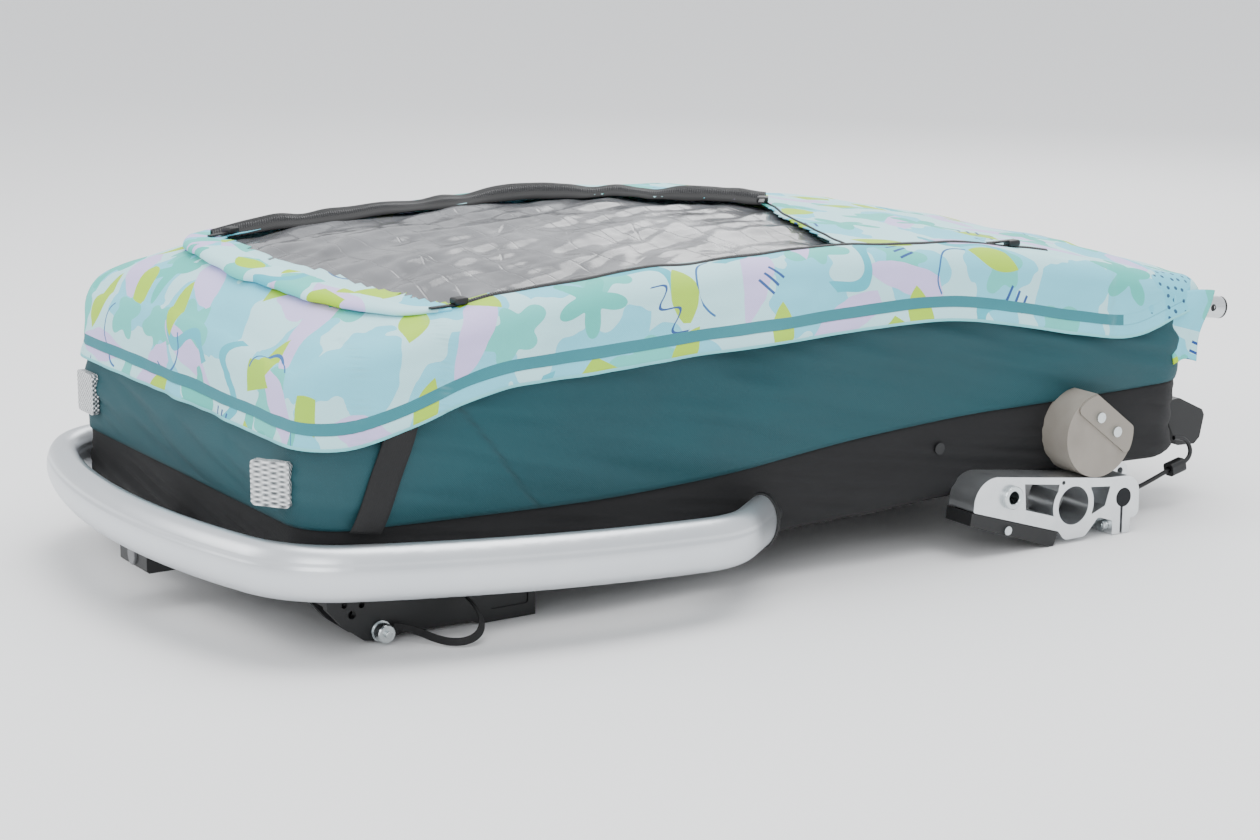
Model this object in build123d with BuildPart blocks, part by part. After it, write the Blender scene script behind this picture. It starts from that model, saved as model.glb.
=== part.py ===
"""Child bicycle trailer, folded flat with its road wheels and tow arm taken off.

Frame: +Z up, +X to the trailer's left side, -Y to its front, the origin on the floor under the
middle of the whole object. Millimetres.
"""

from build123d import *

import math
import os

os.makedirs("parts", exist_ok=True)

# ---------------------------------------------------------------- driving dimensions

RUN_FIT = 0.05  # radial clearance of a shaft that turns in its bore
SLIP = 0.3  # gap between pieces that seat on each other
SOFT_GAP = 0.8  # gap left round a hard piece where it goes through fabric
FABRIC = 3.0  # thickness of the soft walls

# bumper: a bent oval tube, lower at its rear ends
BUMPER_DEEP = 30.0
BUMPER_TALL = 47.0
BUMPER_WALL = 2.0
BUMPER_FRONT_Y = -526.0
BUMPER_FRONT_Z = 81.5
BUMPER_SLOPE = 2.0  # degrees down towards the rear
BOW_RADIUS, BOW_TURN = 704.0, 16.5
CORNER_RADIUS, CORNER_TURN = 92.0, 56.0
SIDE_RADIUS, SIDE_TURN = 1034.0, 17.5
TAIL_RADIUS, TAIL_TURN = 85.0, 40.0
TAIL_RUN = 46.0

# base frame
RAIL_R = 11.0
RAIL_WALL = 1.8
RAIL_X = 214.0
RAIL_Z = 74.0
RAIL_FRONT_Y = -445.0
RAIL_REAR_Y = 452.0
FRONT_TUBE_Y = -425.0
TAIL_TUBE_Y = 436.0

# soft body
TUB_HALF = 244.0
TUB_FRONT_Y = -462.7
TUB_REAR_Y = 484.0
TUB_BOTTOM = 48.0
TUB_BOTTOM_REAR = 54.0
SIDE_HALF = 244.0
SIDE_TOP_TUCK = 14.0  # how far the side fabric reaches up under the cover's hem
PLAN_CORNER = 42.0

# rear suspension
PIVOT_Y, PIVOT_Z = 369.0, 35.0
ARM_IN_X = 245.0
ARM_THICK = 36.0
SHAFT_R = 9.2
BUSH_Y, BUSH_Z = 231.0, 54.0
BUSH_R = 11.0
AXLE_R = 6.0
BIG_BORE_Y, BIG_BORE_Z, BIG_BORE_R = 307.0, 35.5, 18.4
AXLE_TUBE_R = 14.0
AXLE_TUBE_WALL = 3.0
PAD_Y, PAD_Z, PAD_R = 337.0, 99.5, 40.5
PAD_FLAT = 28.0  # from the pad's centre to its flat
PAD_TURN = 52.0  # the flat's normal, degrees up from the rear
PAD_SCREW_OUT, PAD_SCREW_HALF = 12.0, 13.0
SCREW_R = 3.0

# roof frame and cover
HINGE_Y, HINGE_Z = -400.0, 245.0
HINGE_PIN_R = 4.0
ROOF_X = 222.0
TUBE_R = 11.0
STUB_END_Y, STUB_END_Z = 536.8, 191.8
COVER_WALL = 3.0

# front socket, hitch brackets and their pins
SOCKET_HALF = 29.0
SOCKET_FRONT_Y = -514.0
SOCKET_BOTTOM = 34.0
HITCH_OUT_X = 211.0
HITCH_WIDE = 36.0
HITCH_CHEEK = 7.0
PIN_Y, PIN_Z = -386.0, 10.0
PIN_R = 4.0
PIN_HEAD_R = 8.0


# ---------------------------------------------------------------- shared steps


def write(part, name):
    """Label one finished piece and write its STEP file."""
    part.label = name
    export_step(part, f"parts/{name}.step")


def write_pair(part, name):
    """Write the left piece and its mirrored right twin."""
    write(part, f"{name}_left")
    write(mirror(part, about=Plane.YZ), f"{name}_right")


def across(y):
    """A plane that looks rearwards at y: local x is the trailer's +X, local y is up."""
    return Plane(origin=(0, y, 0), x_dir=(1, 0, 0), z_dir=(0, -1, 0))


def sideways(x):
    """A plane at x: local x is the trailer's +Y, local y is up, the normal is +X."""
    return Plane(origin=(x, 0, 0), x_dir=(0, 1, 0), z_dir=(1, 0, 0))


# ---------------------------------------------------------------- bumper

tilt = math.radians(BUMPER_SLOPE)
bumper_plane = Plane(
    origin=(0, BUMPER_FRONT_Y, BUMPER_FRONT_Z),
    x_dir=(1, 0, 0),
    z_dir=(0, math.sin(tilt), math.cos(tilt)),
)

with BuildPart() as bumper_tube:
    with BuildLine(bumper_plane) as bumper_line:
        bow = JernArc((0, 0), (1, 0), BOW_RADIUS, BOW_TURN)
        corner = JernArc(bow @ 1, bow % 1, CORNER_RADIUS, CORNER_TURN)
        side = JernArc(corner @ 1, corner % 1, SIDE_RADIUS, SIDE_TURN)
        tail = JernArc(side @ 1, side % 1, TAIL_RADIUS, TAIL_TURN)
        run = Line(tail @ 1, tail @ 1 + (tail % 1) * TAIL_RUN)
    with BuildSketch(Plane(origin=bow @ 0, x_dir=bumper_plane.y_dir, z_dir=(1, 0, 0))):
        Ellipse(BUMPER_DEEP / 2, BUMPER_TALL / 2)
        Ellipse(BUMPER_DEEP / 2 - BUMPER_WALL, BUMPER_TALL / 2 - BUMPER_WALL, mode=Mode.SUBTRACT)
    sweep(path=bumper_line.wires()[0])
    mirror(about=Plane.YZ)
write(bumper_tube.part, "bumper_tube")

# The boot plugs the tube's rear end and elbows in to the side rail.
boot_end = Vector(run @ 1)
boot_way = Vector(run % 1)
BOOT_FLANGE = 7.0
BOOT_PLUG = 22.0
BOOT_PROUD = 1.5
NECK_TALL, NECK_DEEP = 21.0, 20.0
with BuildPart() as bumper_boot:
    with BuildSketch(Plane(origin=boot_end + boot_way * SLIP, x_dir=bumper_plane.z_dir, z_dir=boot_way)):
        Ellipse(BUMPER_TALL / 2 + BOOT_PROUD, BUMPER_DEEP / 2 + BOOT_PROUD)
    extrude(amount=BOOT_FLANGE)
    with BuildSketch(sideways(TUB_HALF + SLIP)):
        Rectangle(400, 400)
    extrude(amount=-60, mode=Mode.SUBTRACT)
    plug_start = boot_end + boot_way * (SLIP + 1)
    with BuildSketch(Plane(origin=plug_start, x_dir=bumper_plane.z_dir, z_dir=-boot_way)):
        Ellipse(
            BUMPER_TALL / 2 - BUMPER_WALL - SLIP,
            BUMPER_DEEP / 2 - BUMPER_WALL - SLIP,
        )
    extrude(amount=BOOT_PLUG)
    neck_start = boot_end + boot_way * (SLIP + BOOT_FLANGE - 1)
    with BuildSketch(Plane(origin=neck_start, x_dir=bumper_plane.z_dir, z_dir=boot_way)):
        Ellipse(NECK_TALL / 2, NECK_DEEP / 2)
    extrude(amount=60)
    with BuildSketch(sideways(RAIL_X - RAIL_R)):
        Rectangle(400, 400)
    extrude(amount=-200, mode=Mode.SUBTRACT)
    with BuildSketch(across(RAIL_REAR_Y + 40)):
        with Locations((RAIL_X, RAIL_Z)):
            Circle(RAIL_R + SLIP)
    extrude(amount=RAIL_REAR_Y - RAIL_FRONT_Y + 80, mode=Mode.SUBTRACT)
print("boot end", boot_end, "way", boot_way)
write_pair(bumper_boot.part.solids().sort_by(SortBy.VOLUME)[-1], "bumper_boot")

# ---------------------------------------------------------------- base frame tubes

with BuildPart() as side_rail:
    with BuildSketch(across(RAIL_REAR_Y)):
        with Locations((RAIL_X, RAIL_Z)):
            Circle(RAIL_R)
            Circle(RAIL_R - RAIL_WALL, mode=Mode.SUBTRACT)
    extrude(amount=RAIL_REAR_Y - RAIL_FRONT_Y)
write_pair(side_rail.part, "side_rail")


def cross_tube(y, z):
    """A tube between the rails, coped to them where it is welded."""
    with BuildPart() as tube:
        with BuildSketch(sideways(-RAIL_X)):
            with Locations((y, z)):
                Circle(RAIL_R)
                Circle(RAIL_R - RAIL_WALL, mode=Mode.SUBTRACT)
        extrude(amount=2 * RAIL_X)
        with BuildSketch(across(RAIL_REAR_Y + 40)):
            with Locations((RAIL_X, RAIL_Z), (-RAIL_X, RAIL_Z)):
                Circle(RAIL_R + SLIP / 2)
        extrude(amount=RAIL_REAR_Y - RAIL_FRONT_Y + 80, mode=Mode.SUBTRACT)
    return tube.part.solids().sort_by(SortBy.VOLUME)[-1]


write(cross_tube(FRONT_TUBE_Y, RAIL_Z), "front_cross_tube")
write(cross_tube(TAIL_TUBE_Y, RAIL_Z), "tail_cross_tube")

# ---------------------------------------------------------------- rear suspension

ARM_OUT_X = ARM_IN_X + ARM_THICK
AXLE_TUBE_HALF = ARM_IN_X - 5.0
BEARING_LONG = 40.0
BEARING_FLANGE = 4.4

with BuildPart() as axle_tube:
    with BuildSketch(sideways(-AXLE_TUBE_HALF)):
        with Locations((PIVOT_Y, PIVOT_Z)):
            Circle(AXLE_TUBE_R)
            Circle(AXLE_TUBE_R - AXLE_TUBE_WALL, mode=Mode.SUBTRACT)
    extrude(amount=2 * AXLE_TUBE_HALF)
write(axle_tube.part, "axle_tube")

with BuildPart() as pivot_bearings:
    with BuildSketch(sideways(AXLE_TUBE_HALF - BEARING_LONG)):
        with Locations((PIVOT_Y, PIVOT_Z)):
            Circle(AXLE_TUBE_R - AXLE_TUBE_WALL - RUN_FIT)
            Circle(SHAFT_R + RUN_FIT, mode=Mode.SUBTRACT)
    extrude(amount=BEARING_LONG + 1)
    with BuildSketch(sideways(AXLE_TUBE_HALF + RUN_FIT)):
        with Locations((PIVOT_Y, PIVOT_Z)):
            Circle(AXLE_TUBE_R)
            Circle(SHAFT_R + RUN_FIT, mode=Mode.SUBTRACT)
    extrude(amount=BEARING_FLANGE)
    mirror(about=Plane.YZ)
write(pivot_bearings.part, "pivot_bearings")

pad_out = Vector(math.cos(math.radians(PAD_TURN)), math.sin(math.radians(PAD_TURN)))
pad_along = Vector(math.sin(math.radians(PAD_TURN)), -math.cos(math.radians(PAD_TURN)))
pad_centre = Vector(PAD_Y, PAD_Z)
pad_screws = [
    pad_centre + pad_out * PAD_SCREW_OUT + pad_along * step
    for step in (-PAD_SCREW_HALF, PAD_SCREW_HALF)
]

BRACKET_IN_X = RAIL_X + RAIL_R + SLIP
BRACKET_THICK = 8.0
BRACKET_FRONT_Y = 306.0
BOSS_R = 7.0
with BuildPart() as rear_bracket:
    with BuildSketch(sideways(BRACKET_IN_X)):
        with Locations((PIVOT_Y, PIVOT_Z)):
            Circle(23)
        with Locations(*[(p.X, p.Y) for p in pad_screws]):
            Circle(12)
        with Locations((BRACKET_FRONT_Y, RAIL_Z)):
            Circle(14)
        make_hull()
        with Locations((PIVOT_Y, PIVOT_Z)):
            Circle(AXLE_TUBE_R + SLIP / 2, mode=Mode.SUBTRACT)
    extrude(amount=BRACKET_THICK)
    # ear for the brake's anchor, behind the arm
    with BuildSketch(sideways(BRACKET_IN_X)):
        with Locations((PIVOT_Y + 20, PIVOT_Z - 2), (PIVOT_Y + 38, PIVOT_Z + 11)):
            Circle(9)
        with Locations((PIVOT_Y + 29, PIVOT_Z - 15)):
            Circle(7)
        make_hull()
        with Locations((PIVOT_Y, PIVOT_Z)):
            Circle(AXLE_TUBE_R + SLIP / 2, mode=Mode.SUBTRACT)
        with Locations((PIVOT_Y + 38, PIVOT_Z + 11)):
            Circle(3.5, mode=Mode.SUBTRACT)
    extrude(amount=BRACKET_THICK)
    with BuildSketch(sideways(BRACKET_IN_X + BRACKET_THICK)):
        with Locations(*[(p.X, p.Y) for p in pad_screws]):
            Circle(BOSS_R)
    extrude(amount=ARM_IN_X - SLIP - BRACKET_IN_X - BRACKET_THICK)
    with BuildSketch(sideways(BRACKET_IN_X)):
        with Locations(*[(p.X, p.Y) for p in pad_screws]):
            Circle(SCREW_R + RUN_FIT)
    extrude(amount=ARM_THICK, mode=Mode.SUBTRACT)
write_pair(rear_bracket.part, "rear_bracket")


def pad_shape(radius, flat):
    """The pad's D: a disc cut off by its slanting flat."""
    with Locations((PAD_Y, PAD_Z)):
        Circle(radius)
    with Locations(Location((PAD_Y, PAD_Z), PAD_TURN)):
        with Locations((flat + radius, 0)):
            Rectangle(2 * radius, 3 * radius, mode=Mode.SUBTRACT)


with BuildPart() as elastomer:
    with BuildSketch(sideways(ARM_IN_X)):
        pad_shape(PAD_R, PAD_FLAT)
        with Locations(*[(p.X, p.Y) for p in pad_screws]):
            Circle(SCREW_R + RUN_FIT, mode=Mode.SUBTRACT)
    extrude(amount=ARM_THICK)
write_pair(elastomer.part, "elastomer")

PLATE_THICK = 2.0
PLATE_FROM = 2.0  # how far the plate's straight inner edge stands off the pad's centre
with BuildPart() as elastomer_plates:
    with BuildSketch(sideways(ARM_OUT_X)) as plate_shape:
        pad_shape(PAD_R - 1, PAD_FLAT - 0.5)
        with Locations(Location((PAD_Y, PAD_Z), PAD_TURN)):
            with Locations((PLATE_FROM - PAD_R, 0)):
                Rectangle(2 * PAD_R, 3 * PAD_R, mode=Mode.SUBTRACT)
        fillet(plate_shape.vertices(), 5)
        with Locations(*[(p.X, p.Y) for p in pad_screws]):
            Circle(SCREW_R + RUN_FIT, mode=Mode.SUBTRACT)
    extrude(amount=PLATE_THICK)
    mirror(about=Plane.YZ)
write(elastomer_plates.part, "elastomer_plates")

PAD_SCREW_LONG = ARM_OUT_X - BRACKET_IN_X
SCREW_HEAD_R = 5.0
SCREW_HEAD = 2.6
with BuildPart() as elastomer_screws:
    with BuildSketch(sideways(BRACKET_IN_X)):
        with Locations(*[(p.X, p.Y) for p in pad_screws]):
            Circle(SCREW_R)
    extrude(amount=PAD_SCREW_LONG + PLATE_THICK)
    with BuildSketch(sideways(ARM_OUT_X + PLATE_THICK)):
        with Locations(*[(p.X, p.Y) for p in pad_screws]):
            Circle(SCREW_HEAD_R)
    extrude(amount=SCREW_HEAD)
    mirror(about=Plane.YZ)
write(elastomer_screws.part, "elastomer_screws")

# Swing arm: an extruded profile, cut to length and bored.
ARM_OUTLINE = [
    ((187, 45), 2),
    ((189, 78.5), 25),
    ((345, 57), 30),
    ((388.5, 55), 18),
    ((388.5, 14), 7),
    ((378, 14), 2),
    ((378, 0), 1.5),
    ((356, 0), 1.5),
    ((356, 14), 3),
    ((338, 20), 5),
    ((322, 3.5), 10),
    ((297, 3.5), 8),
    ((289, 13), 2),
]
WEB_R = BIG_BORE_R + 6.5
SLIT = 3.0
with BuildPart() as swing_arm:
    with BuildSketch(sideways(ARM_IN_X)):
        with BuildLine():
            FilletPolyline(
                *[point for point, radius in ARM_OUTLINE],
                radius=[radius for point, radius in ARM_OUTLINE],
                close=True,
            )
        make_face()
        with BuildLine():
            Polyline((247, 64), (289, 58), (284, 28), (249, 39), close=True)
        make_face(mode=Mode.SUBTRACT)
        with BuildLine():
            Polyline((328, 50.5), (352, 48), (346, 30), (330, 24), close=True)
        make_face(mode=Mode.SUBTRACT)
        with Locations((BIG_BORE_Y, BIG_BORE_Z)):
            Circle(WEB_R)
            Circle(BIG_BORE_R, mode=Mode.SUBTRACT)
        with Locations((294, 59)):
            Circle(2, mode=Mode.SUBTRACT)
        with Locations((BUSH_Y, BUSH_Z)):
            Circle(BUSH_R + RUN_FIT, mode=Mode.SUBTRACT)
        with Locations((PIVOT_Y, PIVOT_Z)):
            Circle(SHAFT_R + RUN_FIT, mode=Mode.SUBTRACT)
        with Locations((PIVOT_Y - 2, PIVOT_Z - 20)):
            Rectangle(SLIT, 42, mode=Mode.SUBTRACT)
    extrude(amount=ARM_THICK)
    # the clamp's bolt holes
    with BuildSketch(across(PIVOT_Y + 30)):
        with Locations((ARM_IN_X + 10, 8), (ARM_OUT_X - 10, 8)):
            Circle(SCREW_R + RUN_FIT)
    extrude(amount=60, mode=Mode.SUBTRACT)
print("arm solids", len(swing_arm.part.solids()), "top at pad", swing_arm.part.bounding_box())
write_pair(swing_arm.part, "swing_arm")

with BuildPart() as arm_shaft:
    with BuildSketch(sideways(AXLE_TUBE_HALF - BEARING_LONG + 2)):
        with Locations((PIVOT_Y, PIVOT_Z)):
            Circle(SHAFT_R)
    extrude(amount=ARM_OUT_X + 0.5 - AXLE_TUBE_HALF + BEARING_LONG - 2)
    fillet(arm_shaft.faces().sort_by(Axis.X)[-1].edges(), 0.8)
write_pair(arm_shaft.part, "arm_shaft")

BUSH_PROUD = 5.0
with BuildPart() as axle_bush:
    with BuildSketch(sideways(ARM_IN_X)):
        with Locations((BUSH_Y, BUSH_Z)):
            Circle(BUSH_R)
            Circle(AXLE_R, mode=Mode.SUBTRACT)
    extrude(amount=ARM_THICK + BUSH_PROUD)
    chamfer(axle_bush.edges().group_by(Axis.X)[-1], 0.8)
write_pair(axle_bush.part, "axle_bush")

with BuildPart() as arm_foot:
    with BuildSketch(sideways(ARM_IN_X)):
        with BuildLine():
            Polyline((185, 45), (183.5, 33), (278, 0), (284, 0), (288.3, 12.5), close=True)
        make_face()
        with BuildLine():
            Polyline((180, 46.8), (187, 44.6), (289, 12.6), (320, 3), (320, 80), (180, 80), close=True)
        make_face(mode=Mode.SUBTRACT)
    extrude(amount=ARM_THICK)
write_pair(arm_foot.part, "arm_foot")

CLAMP_BOLT_REAR, CLAMP_BOLT_FRONT = PIVOT_Y + 14, PIVOT_Y - 20
with BuildPart() as arm_bolts:
    with BuildSketch(across(CLAMP_BOLT_REAR)):
        with Locations((ARM_IN_X + 10, 8), (ARM_OUT_X - 10, 8)):
            Circle(SCREW_R)
    extrude(amount=CLAMP_BOLT_REAR - CLAMP_BOLT_FRONT)
    with BuildSketch(across(PIVOT_Y - 13 - SLIP)):
        with Locations((ARM_IN_X + 10, 8), (ARM_OUT_X - 10, 8)):
            Circle(5)
    extrude(amount=6)
    with BuildSketch(sideways(ARM_OUT_X + SLIP)):
        with Locations((227, 23)):
            Circle(4.2)
    extrude(amount=2)
write_pair(arm_bolts.part, "arm_bolts")

# ---------------------------------------------------------------- soft body: tub and side fabric


def plan(half, front_y, rear_y, corner, mode=Mode.ADD):
    """The rounded plan of a soft wall."""
    with Locations((0, (front_y + rear_y) / 2)):
        RectangleRounded(2 * half, rear_y - front_y, corner, mode=mode)


# The seam where the black tub meets the side fabric, and the line of the cover's hem above it.
SEAM_LINE = [(-500, 112), (-330, 106), (-180, 103), (-60, 108), (60, 120), (200, 128), (330, 129), (520, 133)]
HEM_LINE = [
    (-500, 176), (-430, 177), (-380, 187), (-310, 207), (-200, 213), (-60, 219), (60, 221), (180, 219),
    (260, 205), (330, 190), (400, 181), (450, 192), (520, 212),
]

SIDE_REAR_Y = TUB_REAR_Y
SIDE_REAR_TOP = 184.0
with BuildPart() as side_fabric:
    with BuildSketch(Plane.XY.offset(TUB_BOTTOM)):
        plan(SIDE_HALF, TUB_FRONT_Y, SIDE_REAR_Y, PLAN_CORNER)
        plan(
            SIDE_HALF - FABRIC, TUB_FRONT_Y + FABRIC, SIDE_REAR_Y - FABRIC, PLAN_CORNER - FABRIC,
            mode=Mode.SUBTRACT,
        )
    extrude(amount=200)
    with BuildSketch(sideways(-300)):
        with BuildLine():
            seam_top = Spline(*[(y, z + SLIP) for y, z in SEAM_LINE])
            hem_tuck = Spline(*[(y, z + SIDE_TOP_TUCK) for y, z in HEM_LINE])
            Line(seam_top @ 1, hem_tuck @ 1)
            Line(seam_top @ 0, hem_tuck @ 0)
        make_face()
    extrude(amount=600, mode=Mode.INTERSECT)
    # the rear wall stays below the roof tubes
    with BuildSketch(Plane.XY.offset(SIDE_REAR_TOP)):
        with Locations((0, SIDE_REAR_Y)):
            Rectangle(2 * (ROOF_X + TUBE_R + 6), 60)
    extrude(amount=80, mode=Mode.SUBTRACT)
write(side_fabric.part, "side_fabric")

# ---------------------------------------------------------------- cover shell

# Each station of the cover: y, half width, and heights of its hem, shoulder and crown.
COVER_STATIONS = [
    (-466, 226, 176, 206, 226),
    (-452, 246, 175, 232, 250),
    (-425, 253, 179, 252, 272),
    (-385, 255, 187, 263, 290),
    (-300, 255, 208, 277, 301),
    (-150, 255, 216, 290, 303),
    (40, 255, 220, 293, 303),
    (200, 254, 218, 282, 291),
    (330, 253, 190, 261, 271),
    (430, 252, 187, 240, 250),
    (508, 246, 200, 223, 230),
]
SHOULDER_IN = 24.0
SHOULDER_DROP = 14.0


# The outer skin and the inner one, which is drawn inside it by the wall and runs out at the hem.
cover_skins = []
for wall in (0, COVER_WALL):
    with BuildPart() as skin:
        for y, half, hem, shoulder, crown in COVER_STATIONS:
            skin_y = min(max(y, COVER_STATIONS[0][0] + wall), COVER_STATIONS[-1][0] - wall)
            side_x = half - wall
            corner_z = shoulder - SHOULDER_DROP - wall / 2
            low = hem - 2 * wall
            with BuildSketch(across(skin_y)):
                with BuildLine():
                    crown_arc = ThreePointArc(
                        (half - SHOULDER_IN, shoulder - wall),
                        (0, crown - wall),
                        (-half + SHOULDER_IN, shoulder - wall),
                    )
                    Polyline(
                        crown_arc @ 1,
                        (-side_x + 4, corner_z),
                        (-side_x, low),
                        (side_x, low),
                        (side_x - 4, corner_z),
                        crown_arc @ 0,
                    )
                make_face()
        loft()
    cover_skins.append(skin.part)
cover_shell = cover_skins[0] - cover_skins[1]
print("cover shell", len(cover_shell.solids()), cover_shell.volume, cover_shell.bounding_box())

FRONT_TOP_END, FRONT_SIDE_END = -395.0, -408.0
ROOF_START = -383.0
SHOULDER_X = 205.0
with BuildPart() as cover_front:
    add(cover_shell)
    with BuildSketch(Plane.XY):
        with BuildLine():
            Polyline(
                (-300, -500), (-300, FRONT_SIDE_END), (-SHOULDER_X, FRONT_SIDE_END),
                (-SHOULDER_X, FRONT_TOP_END), (SHOULDER_X, FRONT_TOP_END),
                (SHOULDER_X, FRONT_SIDE_END), (300, FRONT_SIDE_END), (300, -500), close=True,
            )
        make_face()
    extrude(amount=400, mode=Mode.INTERSECT)
write(cover_front.part, "cover_front")

# The window lies in the roof cover between two curved zips and the front flap.
WINDOW = [(206, -325), (204, -120), (196, 80), (80, 140), (-58, 196), (-140, 40), (-146, -120), (-140, -352)]
ZIP_WIDE = 11.0
NOTCH_TOP = 211.0
with BuildPart() as cover_top:
    add(cover_shell)
    with BuildSketch(Plane.XY):
        with Locations((0, (ROOF_START + 600) / 2)):
            Rectangle(600, 600 - ROOF_START)
        with BuildLine():
            Polyline(*WINDOW, close=True)
        make_face(mode=Mode.SUBTRACT)
    extrude(amount=400, mode=Mode.INTERSECT)
    # a notch in the rear wall for each handle stub
    with BuildSketch(Plane.XY.offset(NOTCH_TOP - 100)):
        with Locations((ROOF_X, COVER_STATIONS[-1][0]), (-ROOF_X, COVER_STATIONS[-1][0])):
            Rectangle(2 * (TUBE_R + 4), 20)
    extrude(amount=100, mode=Mode.SUBTRACT)
write(cover_top.part, "cover_top")

with BuildPart() as window_film:
    add(cover_shell)
    with BuildSketch(Plane.XY) as film_shape:
        with BuildLine():
            Polyline(*WINDOW, close=True)
        make_face()
        offset(amount=-ZIP_WIDE - SLIP, kind=Kind.INTERSECTION)
    extrude(amount=400, mode=Mode.INTERSECT)
write(window_film.part, "window_film")

with BuildPart() as window_zips:
    add(cover_shell)
    with BuildSketch(Plane.XY) as zip_shape:
        with BuildLine():
            Polyline(*WINDOW, close=True)
        make_face()
        offset(amount=-SLIP, kind=Kind.INTERSECTION)
        zip_inside = offset(zip_shape.face(), amount=-ZIP_WIDE, kind=Kind.INTERSECTION, mode=Mode.PRIVATE)
        add(zip_inside, mode=Mode.SUBTRACT)
    extrude(amount=400, mode=Mode.INTERSECT)
write(window_zips.part, "window_zips")
for each in (cover_front, cover_top, window_film, window_zips):
    print(each.part.label, len(each.part.solids()), round(each.part.volume))

# ---------------------------------------------------------------- roof frame

ROOF_LINE = [
    (HINGE_Y + 28, 248), (-150, 271), (40, 274.5), (200, 265), (330, 243), (455, 205), (STUB_END_Y, STUB_END_Z),
]
LUG_HALF = 7.6
TUBE_WALL = 1.8
STUB_HOLE_BACK = 16.0
STUB_HOLE_R = 3.5
with BuildPart() as roof_tube:
    with BuildLine(sideways(ROOF_X)) as roof_line:
        FilletPolyline(*ROOF_LINE, radius=120)
    roof_wire = roof_line.wires()[0]
    with BuildSketch(Plane(origin=roof_wire @ 0, z_dir=roof_wire % 0)):
        Circle(TUBE_R)
        Circle(TUBE_R - TUBE_WALL, mode=Mode.SUBTRACT)
    sweep(path=roof_wire)
    with BuildSketch(sideways(ROOF_X - LUG_HALF)):
        with Locations((HINGE_Y, HINGE_Z), (HINGE_Y + 38, HINGE_Z + 4)):
            Circle(TUBE_R - TUBE_WALL)
        make_hull()
        with Locations((HINGE_Y, HINGE_Z)):
            Circle(HINGE_PIN_R + RUN_FIT, mode=Mode.SUBTRACT)
    extrude(amount=2 * LUG_HALF)
    hole_at = roof_wire @ 1 - (roof_wire % 1) * STUB_HOLE_BACK
    with BuildSketch(sideways(ROOF_X - 20)):
        with Locations((hole_at.Y, hole_at.Z)):
            Circle(STUB_HOLE_R)
    extrude(amount=40, mode=Mode.SUBTRACT)
print("roof tube solids", len(roof_tube.part.solids()), roof_tube.part.bounding_box())
write_pair(roof_tube.part, "roof_tube")

with BuildPart() as tube_solid:
    with BuildSketch(Plane(origin=roof_wire @ 0, z_dir=roof_wire % 0)):
        Circle(TUBE_R + SLIP / 2)
    sweep(path=roof_wire)
    mirror(about=Plane.YZ)

CAP_FLANGE = 2.5
with BuildPart() as handle_rings:
    end_plane = Plane(origin=roof_wire @ 1, z_dir=roof_wire % 1)
    with BuildSketch(end_plane):
        Circle(TUBE_R)
        Circle(TUBE_R - 4.5, mode=Mode.SUBTRACT)
    extrude(amount=CAP_FLANGE)
    with BuildSketch(end_plane.offset(0.5)):
        Circle(TUBE_R - TUBE_WALL - RUN_FIT)
        Circle(TUBE_R - 4.5, mode=Mode.SUBTRACT)
    extrude(amount=-10)
    mirror(about=Plane.YZ)
write(handle_rings.part, "handle_rings")

ROOF_TUBE_R = 8.0
with BuildPart() as roof_cross_tubes:
    with BuildSketch(sideways(-ROOF_X)):
        with Locations((-60, 272), (436, 211)):
            Circle(ROOF_TUBE_R)
            Circle(ROOF_TUBE_R - TUBE_WALL, mode=Mode.SUBTRACT)
    extrude(amount=2 * ROOF_X)
    add(tube_solid.part, mode=Mode.SUBTRACT)
long_tubes = roof_cross_tubes.part.solids().sort_by(SortBy.VOLUME)[-2:]
write(Compound(children=list(long_tubes)), "roof_cross_tubes")

CHEEK = 4.0
CHEEK_GAP = 0.6
CHEEK_R = 8.0
with BuildPart() as roof_hinges:
    for cheek_x in (ROOF_X - LUG_HALF - CHEEK_GAP - CHEEK, ROOF_X + LUG_HALF + CHEEK_GAP):
        with BuildSketch(sideways(cheek_x)):
            with Locations((HINGE_Y, HINGE_Z)):
                Circle(CHEEK_R)
            with Locations((HINGE_Y, RAIL_Z + RAIL_R + SLIP + 6)):
                Rectangle(40, 12)
            make_hull()
            with Locations((HINGE_Y, HINGE_Z)):
                Circle(HINGE_PIN_R + RUN_FIT, mode=Mode.SUBTRACT)
        extrude(amount=CHEEK)
    with BuildSketch(sideways(ROOF_X - LUG_HALF - CHEEK_GAP - 1)):
        with Locations((HINGE_Y, RAIL_Z + RAIL_R + SLIP + 6)):
            Rectangle(40, 12)
    extrude(amount=2 * (LUG_HALF + CHEEK_GAP + 1))
    mirror(about=Plane.YZ)
write(roof_hinges.part, "roof_hinges")

with BuildPart() as roof_hinge_pins:
    with BuildSketch(sideways(ROOF_X - LUG_HALF - CHEEK_GAP - CHEEK - 1)):
        with Locations((HINGE_Y, HINGE_Z)):
            Circle(HINGE_PIN_R)
    extrude(amount=2 * (LUG_HALF + CHEEK_GAP + CHEEK + 1))
    with BuildSketch(sideways(ROOF_X + LUG_HALF + CHEEK_GAP + CHEEK + RUN_FIT)):
        with Locations((HINGE_Y, HINGE_Z)):
            Circle(HINGE_PIN_R + 2.5)
    extrude(amount=2.5)
    mirror(about=Plane.YZ)
write(roof_hinge_pins.part, "roof_hinge_pins")

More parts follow.
